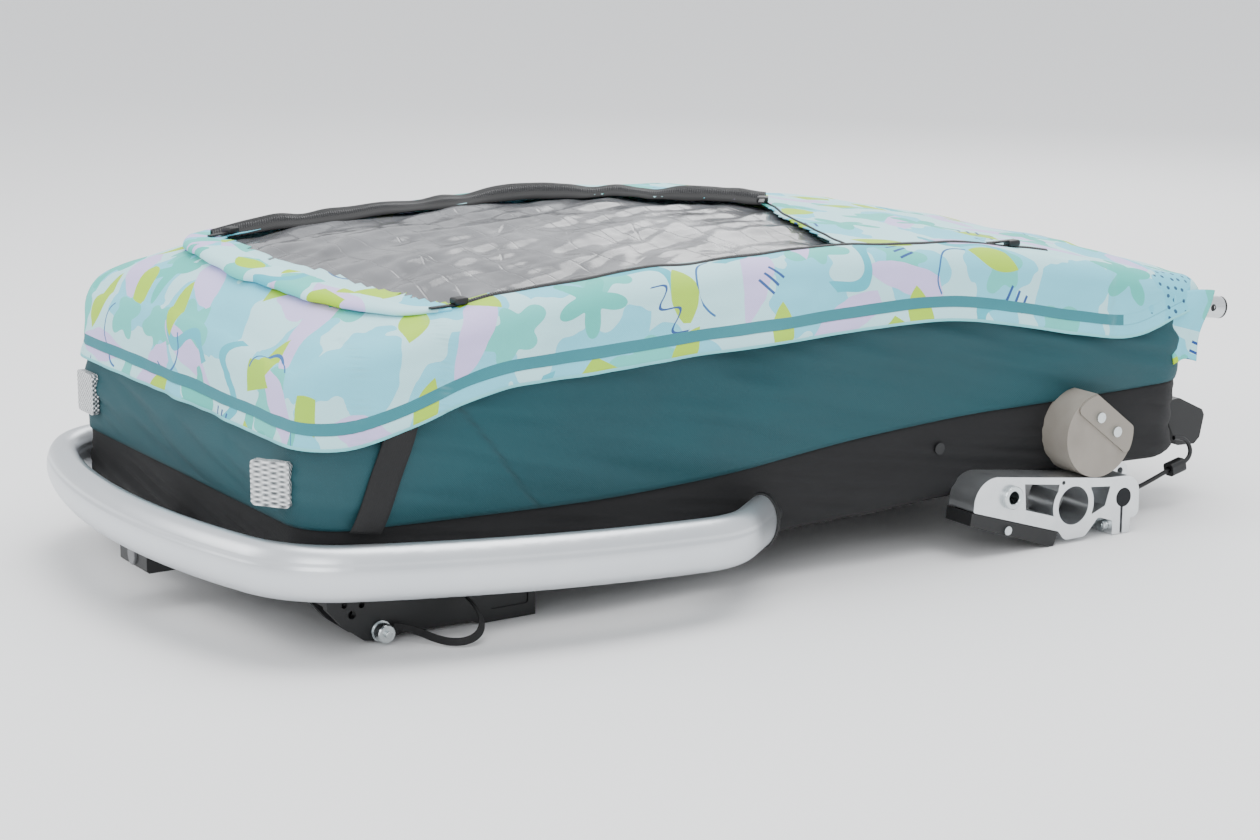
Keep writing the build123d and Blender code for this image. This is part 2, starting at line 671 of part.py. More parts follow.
SLIDER_TALL = 5.0
SLIDERS = [(200, -316, 10), (202, 250, 0), (-66, 188, 40), (-143, -344, -10)]
with BuildPart() as zip_sliders:
    for x, y, turn in SLIDERS:
        with BuildSketch(Plane.XY.offset(250)):
            with Locations(Location((x, y), turn)):
                RectangleRounded(9, 17, 3)
        extrude(amount=60)
    add(cover_skins[0].moved(Location((0, 0, SLIDER_TALL))), mode=Mode.INTERSECT)
    add(cover_skins[0], mode=Mode.SUBTRACT)
write(zip_sliders.part, "zip_sliders")

# ---------------------------------------------------------------- front socket

BUTTON_RX, BUTTON_RZ = 7.5, 9.5
BUTTON_Z = 45.5
BUTTON_PROUD = 2.5
BUTTON_LONG = 14.0
BUTTON_TRAVEL = 3.0
SOCKET_REAR_Y = -466.0
SOCKET_TOP = 72.0
STEM_WIDE, STEM_DEEP, STEM_TALL = 30.0, 18.0, 24.0
STEM_Y = -480.0
TONGUE_HALF = 15.0
with BuildPart() as front_socket:
    with BuildSketch(sideways(-SOCKET_HALF)):
        with BuildLine():
            Polyline(
                (SOCKET_FRONT_Y, SOCKET_BOTTOM + 2), (SOCKET_FRONT_Y + 2, SOCKET_BOTTOM),
                (SOCKET_REAR_Y, SOCKET_BOTTOM), (SOCKET_REAR_Y, SOCKET_TOP),
                (SOCKET_FRONT_Y, SOCKET_TOP), close=True,
            )
        make_face()
    extrude(amount=2 * SOCKET_HALF)
    with BuildSketch(sideways(-TONGUE_HALF)):
        with Locations(((SOCKET_REAR_Y + FRONT_TUBE_Y) / 2, RAIL_Z - 8)):
            Rectangle(FRONT_TUBE_Y - SOCKET_REAR_Y + 4, 12)
    extrude(amount=2 * TONGUE_HALF)
    with BuildSketch(sideways(-60)):
        with Locations((FRONT_TUBE_Y, RAIL_Z)):
            Circle(RAIL_R + SLIP)
        with Locations((FRONT_TUBE_Y + 20, RAIL_Z)):
            Rectangle(40, 60)
        with Locations((BUMPER_FRONT_Y, BUMPER_FRONT_Z)):
            Ellipse(BUMPER_DEEP / 2 + 2 * SLIP, BUMPER_TALL / 2 + 2 * SLIP)
    extrude(amount=120, mode=Mode.SUBTRACT)
    with BuildSketch(across(SOCKET_FRONT_Y + BUTTON_LONG + BUTTON_TRAVEL)):
        with Locations((0, BUTTON_Z)):
            Ellipse(BUTTON_RX + SLIP, BUTTON_RZ + SLIP)
    extrude(amount=40, mode=Mode.SUBTRACT)
    with BuildSketch(Plane.XY.offset(SOCKET_BOTTOM - 5)):
        with Locations((0, STEM_Y)):
            Rectangle(STEM_WIDE, STEM_DEEP)
    extrude(amount=5 + STEM_TALL, mode=Mode.SUBTRACT)
print("socket solids", len(front_socket.part.solids()))
write(front_socket.part.solids().sort_by(SortBy.VOLUME)[-1], "front_socket")

with BuildPart() as socket_button:
    with BuildSketch(across(SOCKET_FRONT_Y - BUTTON_PROUD + BUTTON_LONG)):
        with Locations((0, BUTTON_Z)):
            Ellipse(BUTTON_RX, BUTTON_RZ)
    extrude(amount=BUTTON_LONG)
    fillet(socket_button.faces().sort_by(Axis.Y)[0].edges(), 1)
write(socket_button.part, "socket_button")

# ---------------------------------------------------------------- hitch brackets and pins

HITCH_IN_X = HITCH_OUT_X - HITCH_WIDE
HITCH_TOP = 45.0
HITCH_WEB = 9.0
NECK_FRONT_Y, NECK_REAR_Y = -350.0, -312.0
HITCH_OUTLINE = [
    (-434, HITCH_TOP), (-434, 34), (-420, 18), (-400, 3), (-378, 0), (-366, 4),
    (-298, 3), (-290, 0), (-236, 0), (-236, HITCH_TOP),
]
TRIM_HOLES = [(-418, 36, 2.6), (-402, 34, 2.6), (-411, 27, 3.6)]
STRAP_Y, STRAP_Z = -309.0, 31.0
with BuildPart() as hitch_bracket:
    with BuildSketch(sideways(HITCH_IN_X)):
        with BuildLine():
            Polyline(*HITCH_OUTLINE, close=True)
        make_face()
    extrude(amount=HITCH_WIDE)
    with BuildSketch(sideways(HITCH_IN_X + HITCH_CHEEK)):
        with Locations((-400, (HITCH_TOP - HITCH_WEB) / 2 - 5)):
            Rectangle(216, HITCH_TOP - HITCH_WEB + 10)
    extrude(amount=HITCH_WIDE - 2 * HITCH_CHEEK, mode=Mode.SUBTRACT)
    with BuildSketch(Plane.XY.offset(HITCH_TOP - 1)):
        with Locations((RAIL_X - 10, (NECK_FRONT_Y + NECK_REAR_Y) / 2)):
            Rectangle(20, NECK_REAR_Y - NECK_FRONT_Y)
    extrude(amount=RAIL_Z - HITCH_TOP)
    with BuildSketch(across(NECK_REAR_Y + 5)):
        with Locations((RAIL_X, RAIL_Z)):
            Circle(RAIL_R + SLIP)
    extrude(amount=NECK_REAR_Y - NECK_FRONT_Y + 10, mode=Mode.SUBTRACT)
    with BuildSketch(sideways(HITCH_IN_X - 5)):
        with Locations((PIN_Y, PIN_Z)):
            Circle(PIN_R + RUN_FIT)
    extrude(amount=HITCH_WIDE + 10, mode=Mode.SUBTRACT)
    with BuildSketch(sideways(HITCH_OUT_X - HITCH_CHEEK - 1)):
        for y, z, r in TRIM_HOLES:
            with Locations((y, z)):
                Circle(r)
    extrude(amount=HITCH_CHEEK + 5, mode=Mode.SUBTRACT)
    with BuildSketch(sideways(HITCH_OUT_X - 1.2)):
        with Locations((-262, 24)):
            RectangleRounded(38, 26, 3)
    extrude(amount=5, mode=Mode.SUBTRACT)
print("hitch solids", len(hitch_bracket.part.solids()), hitch_bracket.part.bounding_box())
write_pair(hitch_bracket.part.solids().sort_by(SortBy.VOLUME)[-1], "hitch_bracket")

PIN_HEAD_LONG = 14.0
PLUNGER_R = 3.0
PLUNGER_LONG = 9.0
PLUNGER_PROUD = 3.5
with BuildPart() as hitch_pin:
    with BuildSketch(sideways(HITCH_IN_X - 8)):
        with Locations((PIN_Y, PIN_Z)):
            Circle(PIN_R)
    extrude(amount=HITCH_WIDE + 8 + 2)
    with BuildSketch(sideways(HITCH_OUT_X + SLIP)):
        with Locations((PIN_Y, PIN_Z)):
            Circle(PIN_HEAD_R + 1)
    extrude(amount=3)
    with BuildSketch(sideways(HITCH_OUT_X + SLIP + 3)):
        with Locations((PIN_Y, PIN_Z)):
            Circle(PIN_HEAD_R)
    extrude(amount=PIN_HEAD_LONG - 3)
    chamfer(hitch_pin.faces().sort_by(Axis.X)[-1].edges(), 1)
    with BuildSketch(sideways(HITCH_OUT_X + SLIP + PIN_HEAD_LONG - PLUNGER_LONG)):
        with Locations((PIN_Y, PIN_Z)):
            Circle(PLUNGER_R + RUN_FIT)
    extrude(amount=PLUNGER_LONG + 2, mode=Mode.SUBTRACT)
write_pair(hitch_pin.part, "hitch_pin")

with BuildPart() as pin_plunger:
    with BuildSketch(sideways(HITCH_OUT_X + SLIP + PIN_HEAD_LONG + PLUNGER_PROUD - PLUNGER_LONG)):
        with Locations((PIN_Y, PIN_Z)):
            Circle(PLUNGER_R)
    extrude(amount=PLUNGER_LONG)
    fillet(pin_plunger.faces().sort_by(Axis.X)[-1].edges(), 0.8)
write_pair(pin_plunger.part, "pin_plunger")


def route(points, radius, name):
    """A cord's tube: straight runs joined by the largest arcs that they allow."""
    runs = [Vector(b) - Vector(a) for a, b in zip(points, points[1:])]
    radii = []
    for before, after in zip(runs, runs[1:]):
        half_turn = math.radians(before.get_angle(after)) / 2
        radii.append(0.45 * min(before.length, after.length) / math.tan(half_turn))
    print(name, "radii", [round(r, 1) for r in radii])
    with BuildPart() as tube:
        with BuildLine() as line:
            FilletPolyline(*points, radius=radii)
        path = line.wires()[0]
        with BuildSketch(Plane(origin=path @ 0, z_dir=path % 0)):
            Circle(radius)
        sweep(path=path)
    section = math.pi * radius**2
    print(name, "length", round(path.length, 1), "volume ratio", round(tube.part.volume / section / path.length, 3))
    return tube.part


LANYARD_R = 2.5
LANYARD = [
    (216.5, -376.2, 13), (219, -366, 11), (228, -357, 8), (241, -351, 5), (254, -343, 3.6),
    (262, -332, 4.5), (262, -320, 8.5), (254, -312, 15), (241, -309, 22), (227, -309, 28), (HITCH_OUT_X + 0.8, -309, 31),
]
write_pair(route(LANYARD, LANYARD_R, "lanyard"), "pin_lanyard")

CABLE_R = 2.2
CABLE = [
    (224, TUB_REAR_Y + SLIP, 67), (224, 495, 66), (225, 503, 60), (227, 505, 51), (229, 499, 44), (230.5, 488, 41),
    (231, 474, 38), (231, 456, 32), (230, 438, 26), (229.3, 420, 21.5), (229.3, 407.2, 20),
]
write(route(CABLE, CABLE_R, "cable"), "brake_cable")

with BuildPart() as cable_boot:
    boot_from, boot_to = Vector(CABLE[5]), Vector(CABLE[6])
    boot_axis = (boot_to - boot_from).normalized()
    with BuildSketch(Plane(origin=boot_from - boot_axis * 2, z_dir=boot_axis)):
        RectangleRounded(13, 13, 4)
    extrude(amount=18)
    with BuildSketch(Plane(origin=boot_from - boot_axis * 6, z_dir=boot_axis)):
        Circle(CABLE_R + 0.9)
    extrude(amount=30, mode=Mode.SUBTRACT)
write(cable_boot.part, "cable_boot")

# ---------------------------------------------------------------- parking brake pedal

PEDAL_Y, PEDAL_Z = 500.0, 90.0
PEDAL_IN_X, PEDAL_OUT_X = 160.0, 206.0
EYE_IN_X, EYE_OUT_X = 172.0, 194.0
EYE_R = 8.0
with BuildPart() as pedal_bracket:
    with BuildSketch(sideways(EYE_IN_X)):
        with Locations((PEDAL_Y, PEDAL_Z)):
            Circle(EYE_R)
        with Locations(((PEDAL_Y + TAIL_TUBE_Y) / 2, PEDAL_Z - 2)):
            Rectangle(PEDAL_Y - TAIL_TUBE_Y, 10)
        with Locations((TAIL_TUBE_Y, RAIL_Z)):
            Circle(RAIL_R + SLIP, mode=Mode.SUBTRACT)
        with Locations((PEDAL_Y, PEDAL_Z)):
            Circle(HINGE_PIN_R + RUN_FIT, mode=Mode.SUBTRACT)
    extrude(amount=EYE_OUT_X - EYE_IN_X)
print("pedal bracket solids", len(pedal_bracket.part.solids()))
write(pedal_bracket.part, "pedal_bracket")

with BuildPart() as brake_pedal:
    with BuildSketch(sideways(PEDAL_IN_X)):
        with BuildLine():
            FilletPolyline(
                (491, 100), (507, 101), (538, 86), (541, 80), (536, 58), (529, 52), (506, 53), (491, 82),
                radius=3, close=True,
            )
        make_face()
    extrude(amount=PEDAL_OUT_X - PEDAL_IN_X)
    with BuildSketch(sideways(EYE_IN_X - 0.6)):
        with Locations((PEDAL_Y, PEDAL_Z)):
            Circle(EYE_R + 1)
        with Locations((PEDAL_Y - 20, PEDAL_Z)):
            Rectangle(40, 40)
    extrude(amount=EYE_OUT_X - EYE_IN_X + 1.2, mode=Mode.SUBTRACT)
    with BuildSketch(sideways(EYE_IN_X - 3)):
        with Locations((PEDAL_Y, PEDAL_Z)):
            Circle(HINGE_PIN_R)
    extrude(amount=EYE_OUT_X - EYE_IN_X + 6)
print("pedal solids", len(brake_pedal.part.solids()))
write(brake_pedal.part, "brake_pedal")

# ---------------------------------------------------------------- seat, folded inside

FLOOR_THICK = 5.0
FLOOR_LOW = RAIL_Z + RAIL_R + SLIP
SEAT_LOW = FLOOR_LOW + FLOOR_THICK + SLIP
with BuildPart() as floor_panel:
    with BuildSketch(Plane.XY.offset(FLOOR_LOW)):
        with Locations((0, 25)):
            RectangleRounded(2 * (RAIL_X + 9), 790, 20)
    extrude(amount=FLOOR_THICK)
    with BuildSketch(Plane.XY.offset(FLOOR_LOW - 5)):
        with Locations(((EYE_IN_X + EYE_OUT_X) / 2, TAIL_TUBE_Y)):
            Rectangle(EYE_OUT_X - EYE_IN_X + 4, 60)
    extrude(amount=20, mode=Mode.SUBTRACT)
write(floor_panel.part, "floor_panel")

SEAT_TOP = 117.0
with BuildPart() as seat_cushion:
    with BuildSketch(Plane.XY.offset(SEAT_LOW)):
        with Locations((0, 0)):
            RectangleRounded(330, 300, 30)
    extrude(amount=SEAT_TOP - SEAT_LOW)
    fillet(seat_cushion.faces().sort_by(Axis.Z)[-1].edges(), 9)
write(seat_cushion.part, "seat_cushion")

BACK_Y, BACK_Z = 412.0, 128.0
BACK_FRONT_Y = -50.0
BACK_HALF = 160.0
BACK_THICK = 14.0
BARREL_R = 8.0
with BuildPart() as backrest:
    with BuildSketch(sideways(-BACK_HALF)):
        with Locations((BACK_Y, BACK_Z)):
            Circle(BARREL_R)
        with Locations(((BACK_Y + BACK_FRONT_Y) / 2, BACK_Z)):
            Rectangle(BACK_Y - BACK_FRONT_Y, BACK_THICK)
        with Locations((BACK_Y, BACK_Z)):
            Circle(HINGE_PIN_R + RUN_FIT, mode=Mode.SUBTRACT)
    extrude(amount=2 * BACK_HALF)
write(backrest.part, "backrest")

LUG_X = BACK_HALF + 1
LUG_THICK = 5.0
with BuildPart() as backrest_hinge:
    for lug_x in (LUG_X, -LUG_X - LUG_THICK):
        with BuildSketch(sideways(lug_x)):
            with Locations((BACK_Y, BACK_Z)):
                Circle(BARREL_R)
            with Locations((BACK_Y, SEAT_LOW + 2)):
                Rectangle(30, 4)
            make_hull()
        extrude(amount=LUG_THICK)
    with BuildSketch(sideways(-LUG_X - LUG_THICK)):
        with Locations((BACK_Y, BACK_Z)):
            Circle(HINGE_PIN_R)
    extrude(amount=2 * (LUG_X + LUG_THICK))
write(backrest_hinge.part, "backrest_hinge")

# ---------------------------------------------------------------- tub

with BuildPart() as tub_fabric:
    with BuildSketch(Plane.XY.offset(TUB_BOTTOM - 10)):
        plan(TUB_HALF, TUB_FRONT_Y, TUB_REAR_Y, PLAN_CORNER)
    extrude(amount=110)
    with BuildSketch(sideways(-300)):
        with BuildLine():
            seam = Spline(*SEAM_LINE)
            Polyline(
                seam @ 1, (520, TUB_BOTTOM_REAR), (230, TUB_BOTTOM_REAR),
                (130, TUB_BOTTOM), (-500, TUB_BOTTOM), seam @ 0,
            )
        make_face()
    extrude(amount=600, mode=Mode.INTERSECT)
    with BuildSketch(Plane.XY.offset(TUB_BOTTOM - 10)):
        plan(TUB_HALF - FABRIC, TUB_FRONT_Y + FABRIC, TUB_REAR_Y - FABRIC, PLAN_CORNER - FABRIC)
    hollow_tool = extrude(amount=110, mode=Mode.PRIVATE)
    with BuildSketch(sideways(-300)) as floor_cut:
        with BuildLine():
            Polyline(
                (520, TUB_BOTTOM_REAR + FABRIC), (230, TUB_BOTTOM_REAR + FABRIC),
                (130, TUB_BOTTOM + FABRIC), (-500, TUB_BOTTOM + FABRIC),
                (-500, 200), (520, 200), close=True,
            )
        make_face()
    above_floor = extrude(amount=600, mode=Mode.PRIVATE)
    add(hollow_tool & above_floor, mode=Mode.SUBTRACT)
    # ways through for the rear brackets and their bosses, the hitch brackets, the socket's
    # tongue, the pedal bracket and the bumper boots
    with BuildSketch(Plane.XY.offset(TUB_BOTTOM - 10)):
        for way in (1, -1):
            with Locations((way * (BRACKET_IN_X + BRACKET_THICK / 2), PIVOT_Y - 7)):
                Rectangle(BRACKET_THICK + 2 * SOFT_GAP, 120)
            with Locations((way * (RAIL_X - 10), (NECK_FRONT_Y + NECK_REAR_Y) / 2)):
                Rectangle(20 + 2 * SOFT_GAP, NECK_REAR_Y - NECK_FRONT_Y + 2 * SOFT_GAP)
    extrude(amount=30, mode=Mode.SUBTRACT)
    with BuildSketch(across(TUB_FRONT_Y + 15)):
        with Locations((0, RAIL_Z - 8)):
            Rectangle(2 * (TONGUE_HALF + SOFT_GAP), 12 + 2 * SOFT_GAP)
    extrude(amount=30, mode=Mode.SUBTRACT)
    with BuildSketch(across(TUB_REAR_Y + 15)):
        with Locations(((EYE_IN_X + EYE_OUT_X) / 2, PEDAL_Z - 2)):
            Rectangle(EYE_OUT_X - EYE_IN_X + 2 * SOFT_GAP, 10 + 2 * SOFT_GAP)
    extrude(amount=30, mode=Mode.SUBTRACT)
    with BuildSketch(sideways(-300)):
        with Locations(*[(p.X, p.Y) for p in pad_screws]):
            Circle(BOSS_R + SOFT_GAP)
    extrude(amount=600, mode=Mode.SUBTRACT)
    with BuildSketch(Plane(origin=boot_end - boot_way * 30, x_dir=bumper_plane.z_dir, z_dir=boot_way)):
        Ellipse(NECK_TALL / 2 + SOFT_GAP, NECK_DEEP / 2 + SOFT_GAP)
    boot_way_through = extrude(amount=90, mode=Mode.SUBTRACT)
    add(mirror(boot_way_through, about=Plane.YZ), mode=Mode.SUBTRACT)
write(tub_fabric.part, "tub_fabric")

# ---------------------------------------------------------------- trim

REFLECTOR_WIDE, REFLECTOR_TALL, REFLECTOR_THICK = 36.0, 38.0, 6.0
for name, place, turn in (
    ("reflector_left", (205, TUB_FRONT_Y - 13, 147), 34),
    ("reflector_right", (-198, TUB_FRONT_Y - 5, 147), 0),
):
    facing = math.radians(turn)
    with BuildPart() as reflector:
        with BuildSketch(
            Plane(
                origin=place,
                x_dir=(math.cos(facing), math.sin(facing), 0),
                z_dir=(math.sin(facing), -math.cos(facing), 0),
            )
        ):
            RectangleRounded(REFLECTOR_WIDE, REFLECTOR_TALL, 4)
        extrude(amount=REFLECTOR_THICK, both=False)
        # the hanger that ties it back to the side fabric
        with BuildSketch(Plane(origin=(place[0] - 6, TUB_FRONT_Y - SLIP, place[2]), z_dir=(0, -1, 0))):
            RectangleRounded(12, 14, 2)
        extrude(until=Until.NEXT)
    print(name, len(reflector.part.solids()), reflector.part.bounding_box())
    write(reflector.part, name)

STRAP_THICK = 1.6
with BuildPart() as corner_straps:
    with BuildSketch(sideways(SIDE_HALF + SLIP)):
        with BuildLine():
            Polyline((-400, 190), (-374, 186), (-404, 110), (-432, 114), close=True)
        make_face()
    extrude(amount=STRAP_THICK)
    mirror(about=Plane.YZ)
write(corner_straps.part, "corner_straps")

with BuildPart() as tub_snaps:
    with BuildSketch(sideways(TUB_HALF + SLIP)):
        with Locations((174, 100)):
            Circle(5.5)
    extrude(amount=2.2)
    mirror(about=Plane.YZ)
write(tub_snaps.part, "tub_snaps")
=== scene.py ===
"""Folded child bicycle trailer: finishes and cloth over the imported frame."""

import math

import bpy
import numpy as np
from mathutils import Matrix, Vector


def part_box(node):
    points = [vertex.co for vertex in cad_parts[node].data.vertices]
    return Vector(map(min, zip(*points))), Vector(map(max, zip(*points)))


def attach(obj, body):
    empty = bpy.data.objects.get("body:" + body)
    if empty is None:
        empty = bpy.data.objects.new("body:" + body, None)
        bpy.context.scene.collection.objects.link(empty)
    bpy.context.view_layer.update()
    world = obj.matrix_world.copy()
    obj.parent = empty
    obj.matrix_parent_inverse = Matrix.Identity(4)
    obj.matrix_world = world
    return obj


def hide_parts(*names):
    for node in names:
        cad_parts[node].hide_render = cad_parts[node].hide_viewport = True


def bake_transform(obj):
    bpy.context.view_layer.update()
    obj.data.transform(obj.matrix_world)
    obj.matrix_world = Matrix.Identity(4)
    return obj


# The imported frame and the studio. The trailer stands folded on a pale paper floor under wide
# soft lamps, and the camera looks down at its left front corner from about eye height of a
# person who sits.
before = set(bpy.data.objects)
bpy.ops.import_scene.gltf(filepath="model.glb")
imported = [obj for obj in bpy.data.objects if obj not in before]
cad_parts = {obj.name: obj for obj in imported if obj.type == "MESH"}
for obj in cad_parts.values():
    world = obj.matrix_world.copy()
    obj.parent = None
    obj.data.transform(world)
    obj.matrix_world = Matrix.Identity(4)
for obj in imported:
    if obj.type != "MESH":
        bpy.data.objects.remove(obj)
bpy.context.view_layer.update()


def drop_selection():
    """Nothing stays selected before a new piece is added."""
    bpy.ops.object.select_all(action="DESELECT")


drop_selection()
bpy.ops.mesh.primitive_plane_add(size=60, location=(0, 0, -0.0006))
floor = bpy.context.object
floor.name = "studio_floor"
paper = bpy.data.materials.new("studio_paper")
paper.use_nodes = True
paper.node_tree.nodes["Principled BSDF"].inputs["Base Color"].default_value = (0.9, 0.9, 0.9, 1)
paper.node_tree.nodes["Principled BSDF"].inputs["Roughness"].default_value = 0.9
floor.data.materials.append(paper)

world = bpy.data.worlds.new("studio_air")
world.use_nodes = True
world.node_tree.nodes["Background"].inputs["Color"].default_value = (0.95, 0.97, 1.0, 1)
world.node_tree.nodes["Background"].inputs["Strength"].default_value = 1.3
bpy.context.scene.world = world

for name, place, power, size in (
    ("top_softbox", (0.2, 0.2, 2.4), 60, 2.2),
    ("front_softbox", (2.3, -2.2, 1.5), 26, 1.6),
    ("left_softbox", (-1.2, -2.6, 1.6), 22, 1.4),
    ("rear_softbox", (-1.6, 1.8, 1.5), 22, 1.4),
):
    bpy.ops.object.light_add(type="AREA", location=place)
    lamp = bpy.context.object
    lamp.name = name
    lamp.data.energy = power
    lamp.data.size = size
    lamp.rotation_mode = "QUATERNION"
    lamp.rotation_quaternion = (Vector((0, 0, 0.1)) - Vector(place)).to_track_quat("-Z", "Y")

LOOK_TURN, LOOK_DOWN = math.radians(57.5), math.radians(12.8)
LOOK_AT = Vector((0.0393, -0.0304, 0.1123))
LOOK_FROM = 2.6676
bpy.ops.object.camera_add()
camera = bpy.context.object
camera.name = "camera"
camera.data.sensor_width = 36
camera.data.lens = 81.43
look_back = Vector(
    (
        math.sin(LOOK_TURN) * math.cos(LOOK_DOWN),
        -math.cos(LOOK_TURN) * math.cos(LOOK_DOWN),
        math.sin(LOOK_DOWN),
    )
)
camera.location = LOOK_AT + look_back * LOOK_FROM
camera.rotation_mode = "QUATERNION"
camera.rotation_quaternion = (-look_back).to_track_quat("-Z", "Y")
bpy.context.scene.camera = camera


# Bumper: one oval aluminium tube, bent at its front corners and rear ends, blasted and clear
# anodised to a satin silver. A soft rolled crease runs round its outer face. Black moulded boots
# plug its rear ends.
def tint(code):
    """A colour written as six hex digits, as linear light."""
    parts = [int(code[i : i + 2], 16) / 255 for i in (0, 2, 4)]
    return tuple(c / 12.92 if c < 0.04045 else ((c + 0.055) / 1.055) ** 2.4 for c in parts) + (1,)


class Tone:
    """A value that a shader works out, which adds, multiplies and compares like a number."""

    def __init__(self, finish, socket):
        self.finish = finish
        self.socket = socket

    def made(self, operation, *others):
        return self.finish.node("ShaderNodeMath", {"operation": operation}, (self, *others))

    def __add__(self, other):
        return self.made("ADD", other)

    __radd__ = __add__

    def __sub__(self, other):
        return self.made("SUBTRACT", other)

    def __rsub__(self, other):
        return self.finish.node("ShaderNodeMath", {"operation": "SUBTRACT"}, (other, self))

    def __mul__(self, other):
        return self.made("MULTIPLY", other)

    __rmul__ = __mul__

    def __truediv__(self, other):
        return self.made("DIVIDE", other)

    def __lt__(self, other):
        return self.made("LESS_THAN", other)

    def __gt__(self, other):
        return self.made("GREATER_THAN", other)

    def size(self):
        return self.made("ABSOLUTE")

    def wave(self):
        return self.made("SINE")


class Finish:
    """One material: its shader, what is the same all over it, and the nodes that vary it."""

    def __init__(self, name, colour, **sockets):
        self.material = bpy.data.materials.new(name)
        self.material.use_nodes = True
        self.tree = self.material.node_tree
        self.shader = self.tree.nodes["Principled BSDF"]
        self.shader.inputs["Base Color"].default_value = colour
        for socket, value in sockets.items():
            self.shader.inputs[socket.replace("_", " ")].default_value = value

    def node(self, kind, settings, sockets, out=0):
        """Adds a node, sets it, feeds its sockets by place or name, and gives one output."""
        made = self.tree.nodes.new(kind)
        for key, value in settings.items():
            setattr(made, key, value)
        pairs = sockets.items() if isinstance(sockets, dict) else enumerate(sockets)
        for key, value in pairs:
            if isinstance(value, Tone):
                self.tree.links.new(value.socket, made.inputs[key])
            else:
                made.inputs[key].default_value = value
        return Tone(self, made.outputs[out])

    def place(self):
        """The point of the piece that is shaded, in metres."""
        return self.node("ShaderNodeTexCoord", {}, {}, "Object")

    def flat(self):
        """The same point on the cloth before it was sewn, in metres."""
        return self.node("ShaderNodeUVMap", {"uv_map": "cut"}, {}, "UV")

    def split(self, vector):
        """The x, y and z of a vector."""
        first = self.node("ShaderNodeSeparateXYZ", {}, {"Vector": vector}, "X")
        outs = first.socket.node.outputs
        return first, Tone(self, outs["Y"]), Tone(self, outs["Z"])

    def noise(self, where, scale, detail=3.0, out="Fac"):
        return self.node(
            "ShaderNodeTexNoise", {}, {"Vector": where, "Scale": scale, "Detail": detail}, out
        )

    def stretch(self, where, factors):
        """The point with each of its directions stretched, so that a pattern runs along one."""
        return self.node("ShaderNodeVectorMath", {"operation": "MULTIPLY"}, (where, factors))

    def blend(self, share, first, second):
        """The first colour where share is 0, and the second where it is 1."""
        made = self.tree.nodes.new("ShaderNodeMix")
        made.data_type = "RGBA"
        for key, value in ((0, share), (6, first), (7, second)):
            if isinstance(value, Tone):
                self.tree.links.new(value.socket, made.inputs[key])
            else:
                made.inputs[key].default_value = value
        return Tone(self, made.outputs[2])

    def between(self, value, low, high, to_low, to_high):
        """The value carried from one range to another and held inside it."""
        return self.node(
            "ShaderNodeMapRange", {"interpolation_type": "SMOOTHSTEP"},
            {
                "Value": value, "From Min": low, "From Max": high, "To Min": to_low,
                "To Max": to_high,
            },
        )

    def feed(self, socket, tone):
        self.tree.links.new(tone.socket, self.shader.inputs[socket])

    def relief(self, height, distance, strength=1.0):
        """Bumps the surface: distance is the depth in metres of a height of 1."""
        normal = self.node(
            "ShaderNodeBump", {}, {"Height": height, "Distance": distance, "Strength": strength},
            "Normal",
        )
        self.feed("Normal", normal)


def coat(finish, slot_name, *nodes):
    """Gives CAD nodes their finish."""
    for node in nodes:
        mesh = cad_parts[node].data
        mesh.materials.clear()
        mesh.materials.append(finish.material)


anodised = Finish("satin_anodised", tint("D3D7DB"), Metallic=0.92, Roughness=0.34)
spot = anodised.place()
spot_x, spot_y, spot_z = anodised.split(spot)
grain = anodised.noise(spot, 900, 2)
cloud = anodised.noise(spot, 14, 4)
anodised.feed("Roughness", 0.29 + 0.08 * cloud + 0.05 * grain)
anodised.feed("Base Color", anodised.blend(cloud, tint("CDD2D7"), tint("DADDE0")))
TUBE_FRONT, TUBE_MIDDLE, TUBE_FALL, CREASE_UP = -0.526, 0.0815, 0.0349, 0.0085
crease_off = (spot_z - (TUBE_MIDDLE + CREASE_UP) + (spot_y - TUBE_FRONT) * TUBE_FALL).size()
crease = anodised.between(crease_off, 0.0, 0.0035, 0.0, 1.0)
anodised.relief(crease + 0.02 * grain, 0.0006, 0.7)
coat(anodised, "anodised_silver", "bumper_tube")

moulded = Finish("black_moulding", tint("17181A"), Roughness=0.5)
spot = moulded.place()
pores = moulded.noise(spot, 1400, 2)
haze = moulded.noise(spot, 30, 4)
moulded.feed("Roughness", 0.42 + 0.16 * haze)
moulded.feed("Base Color", moulded.blend(haze, tint("08090A"), tint("131416")))
moulded.relief(pores, 0.00006)
coat(
    moulded, "black_plastic", "bumper_boot_left", "bumper_boot_right", "front_socket",
    "hitch_bracket_left", "hitch_bracket_right", "arm_foot_left", "arm_foot_right",
    "brake_pedal", "pedal_bracket", "handle_rings", "pivot_bearings", "cable_boot", "tub_snaps",
)

# Base frame: drawn round aluminium tubes, two long rails tied by a front and a tail tube and by
# the axle tube of the suspension. Two bent roof tubes and their cross tubes carry the cover, and
# end behind as the round stubs that a handle slips on to.
drawn = Finish("drawn_tube", tint("CFD2D4"), Metallic=0.95, Roughness=0.3)
spot = drawn.place()
lines = drawn.noise(drawn.stretch(spot, (900, 6, 900)), 1, 3)
drawn.feed("Roughness", 0.24 + 0.16 * lines)
drawn.feed("Base Color", drawn.blend(lines, tint("BFC3C6"), tint("DDDFE0")))
drawn.relief(lines, 0.00003)
coat(drawn, "tube_silver", "roof_tube_left", "roof_tube_right")

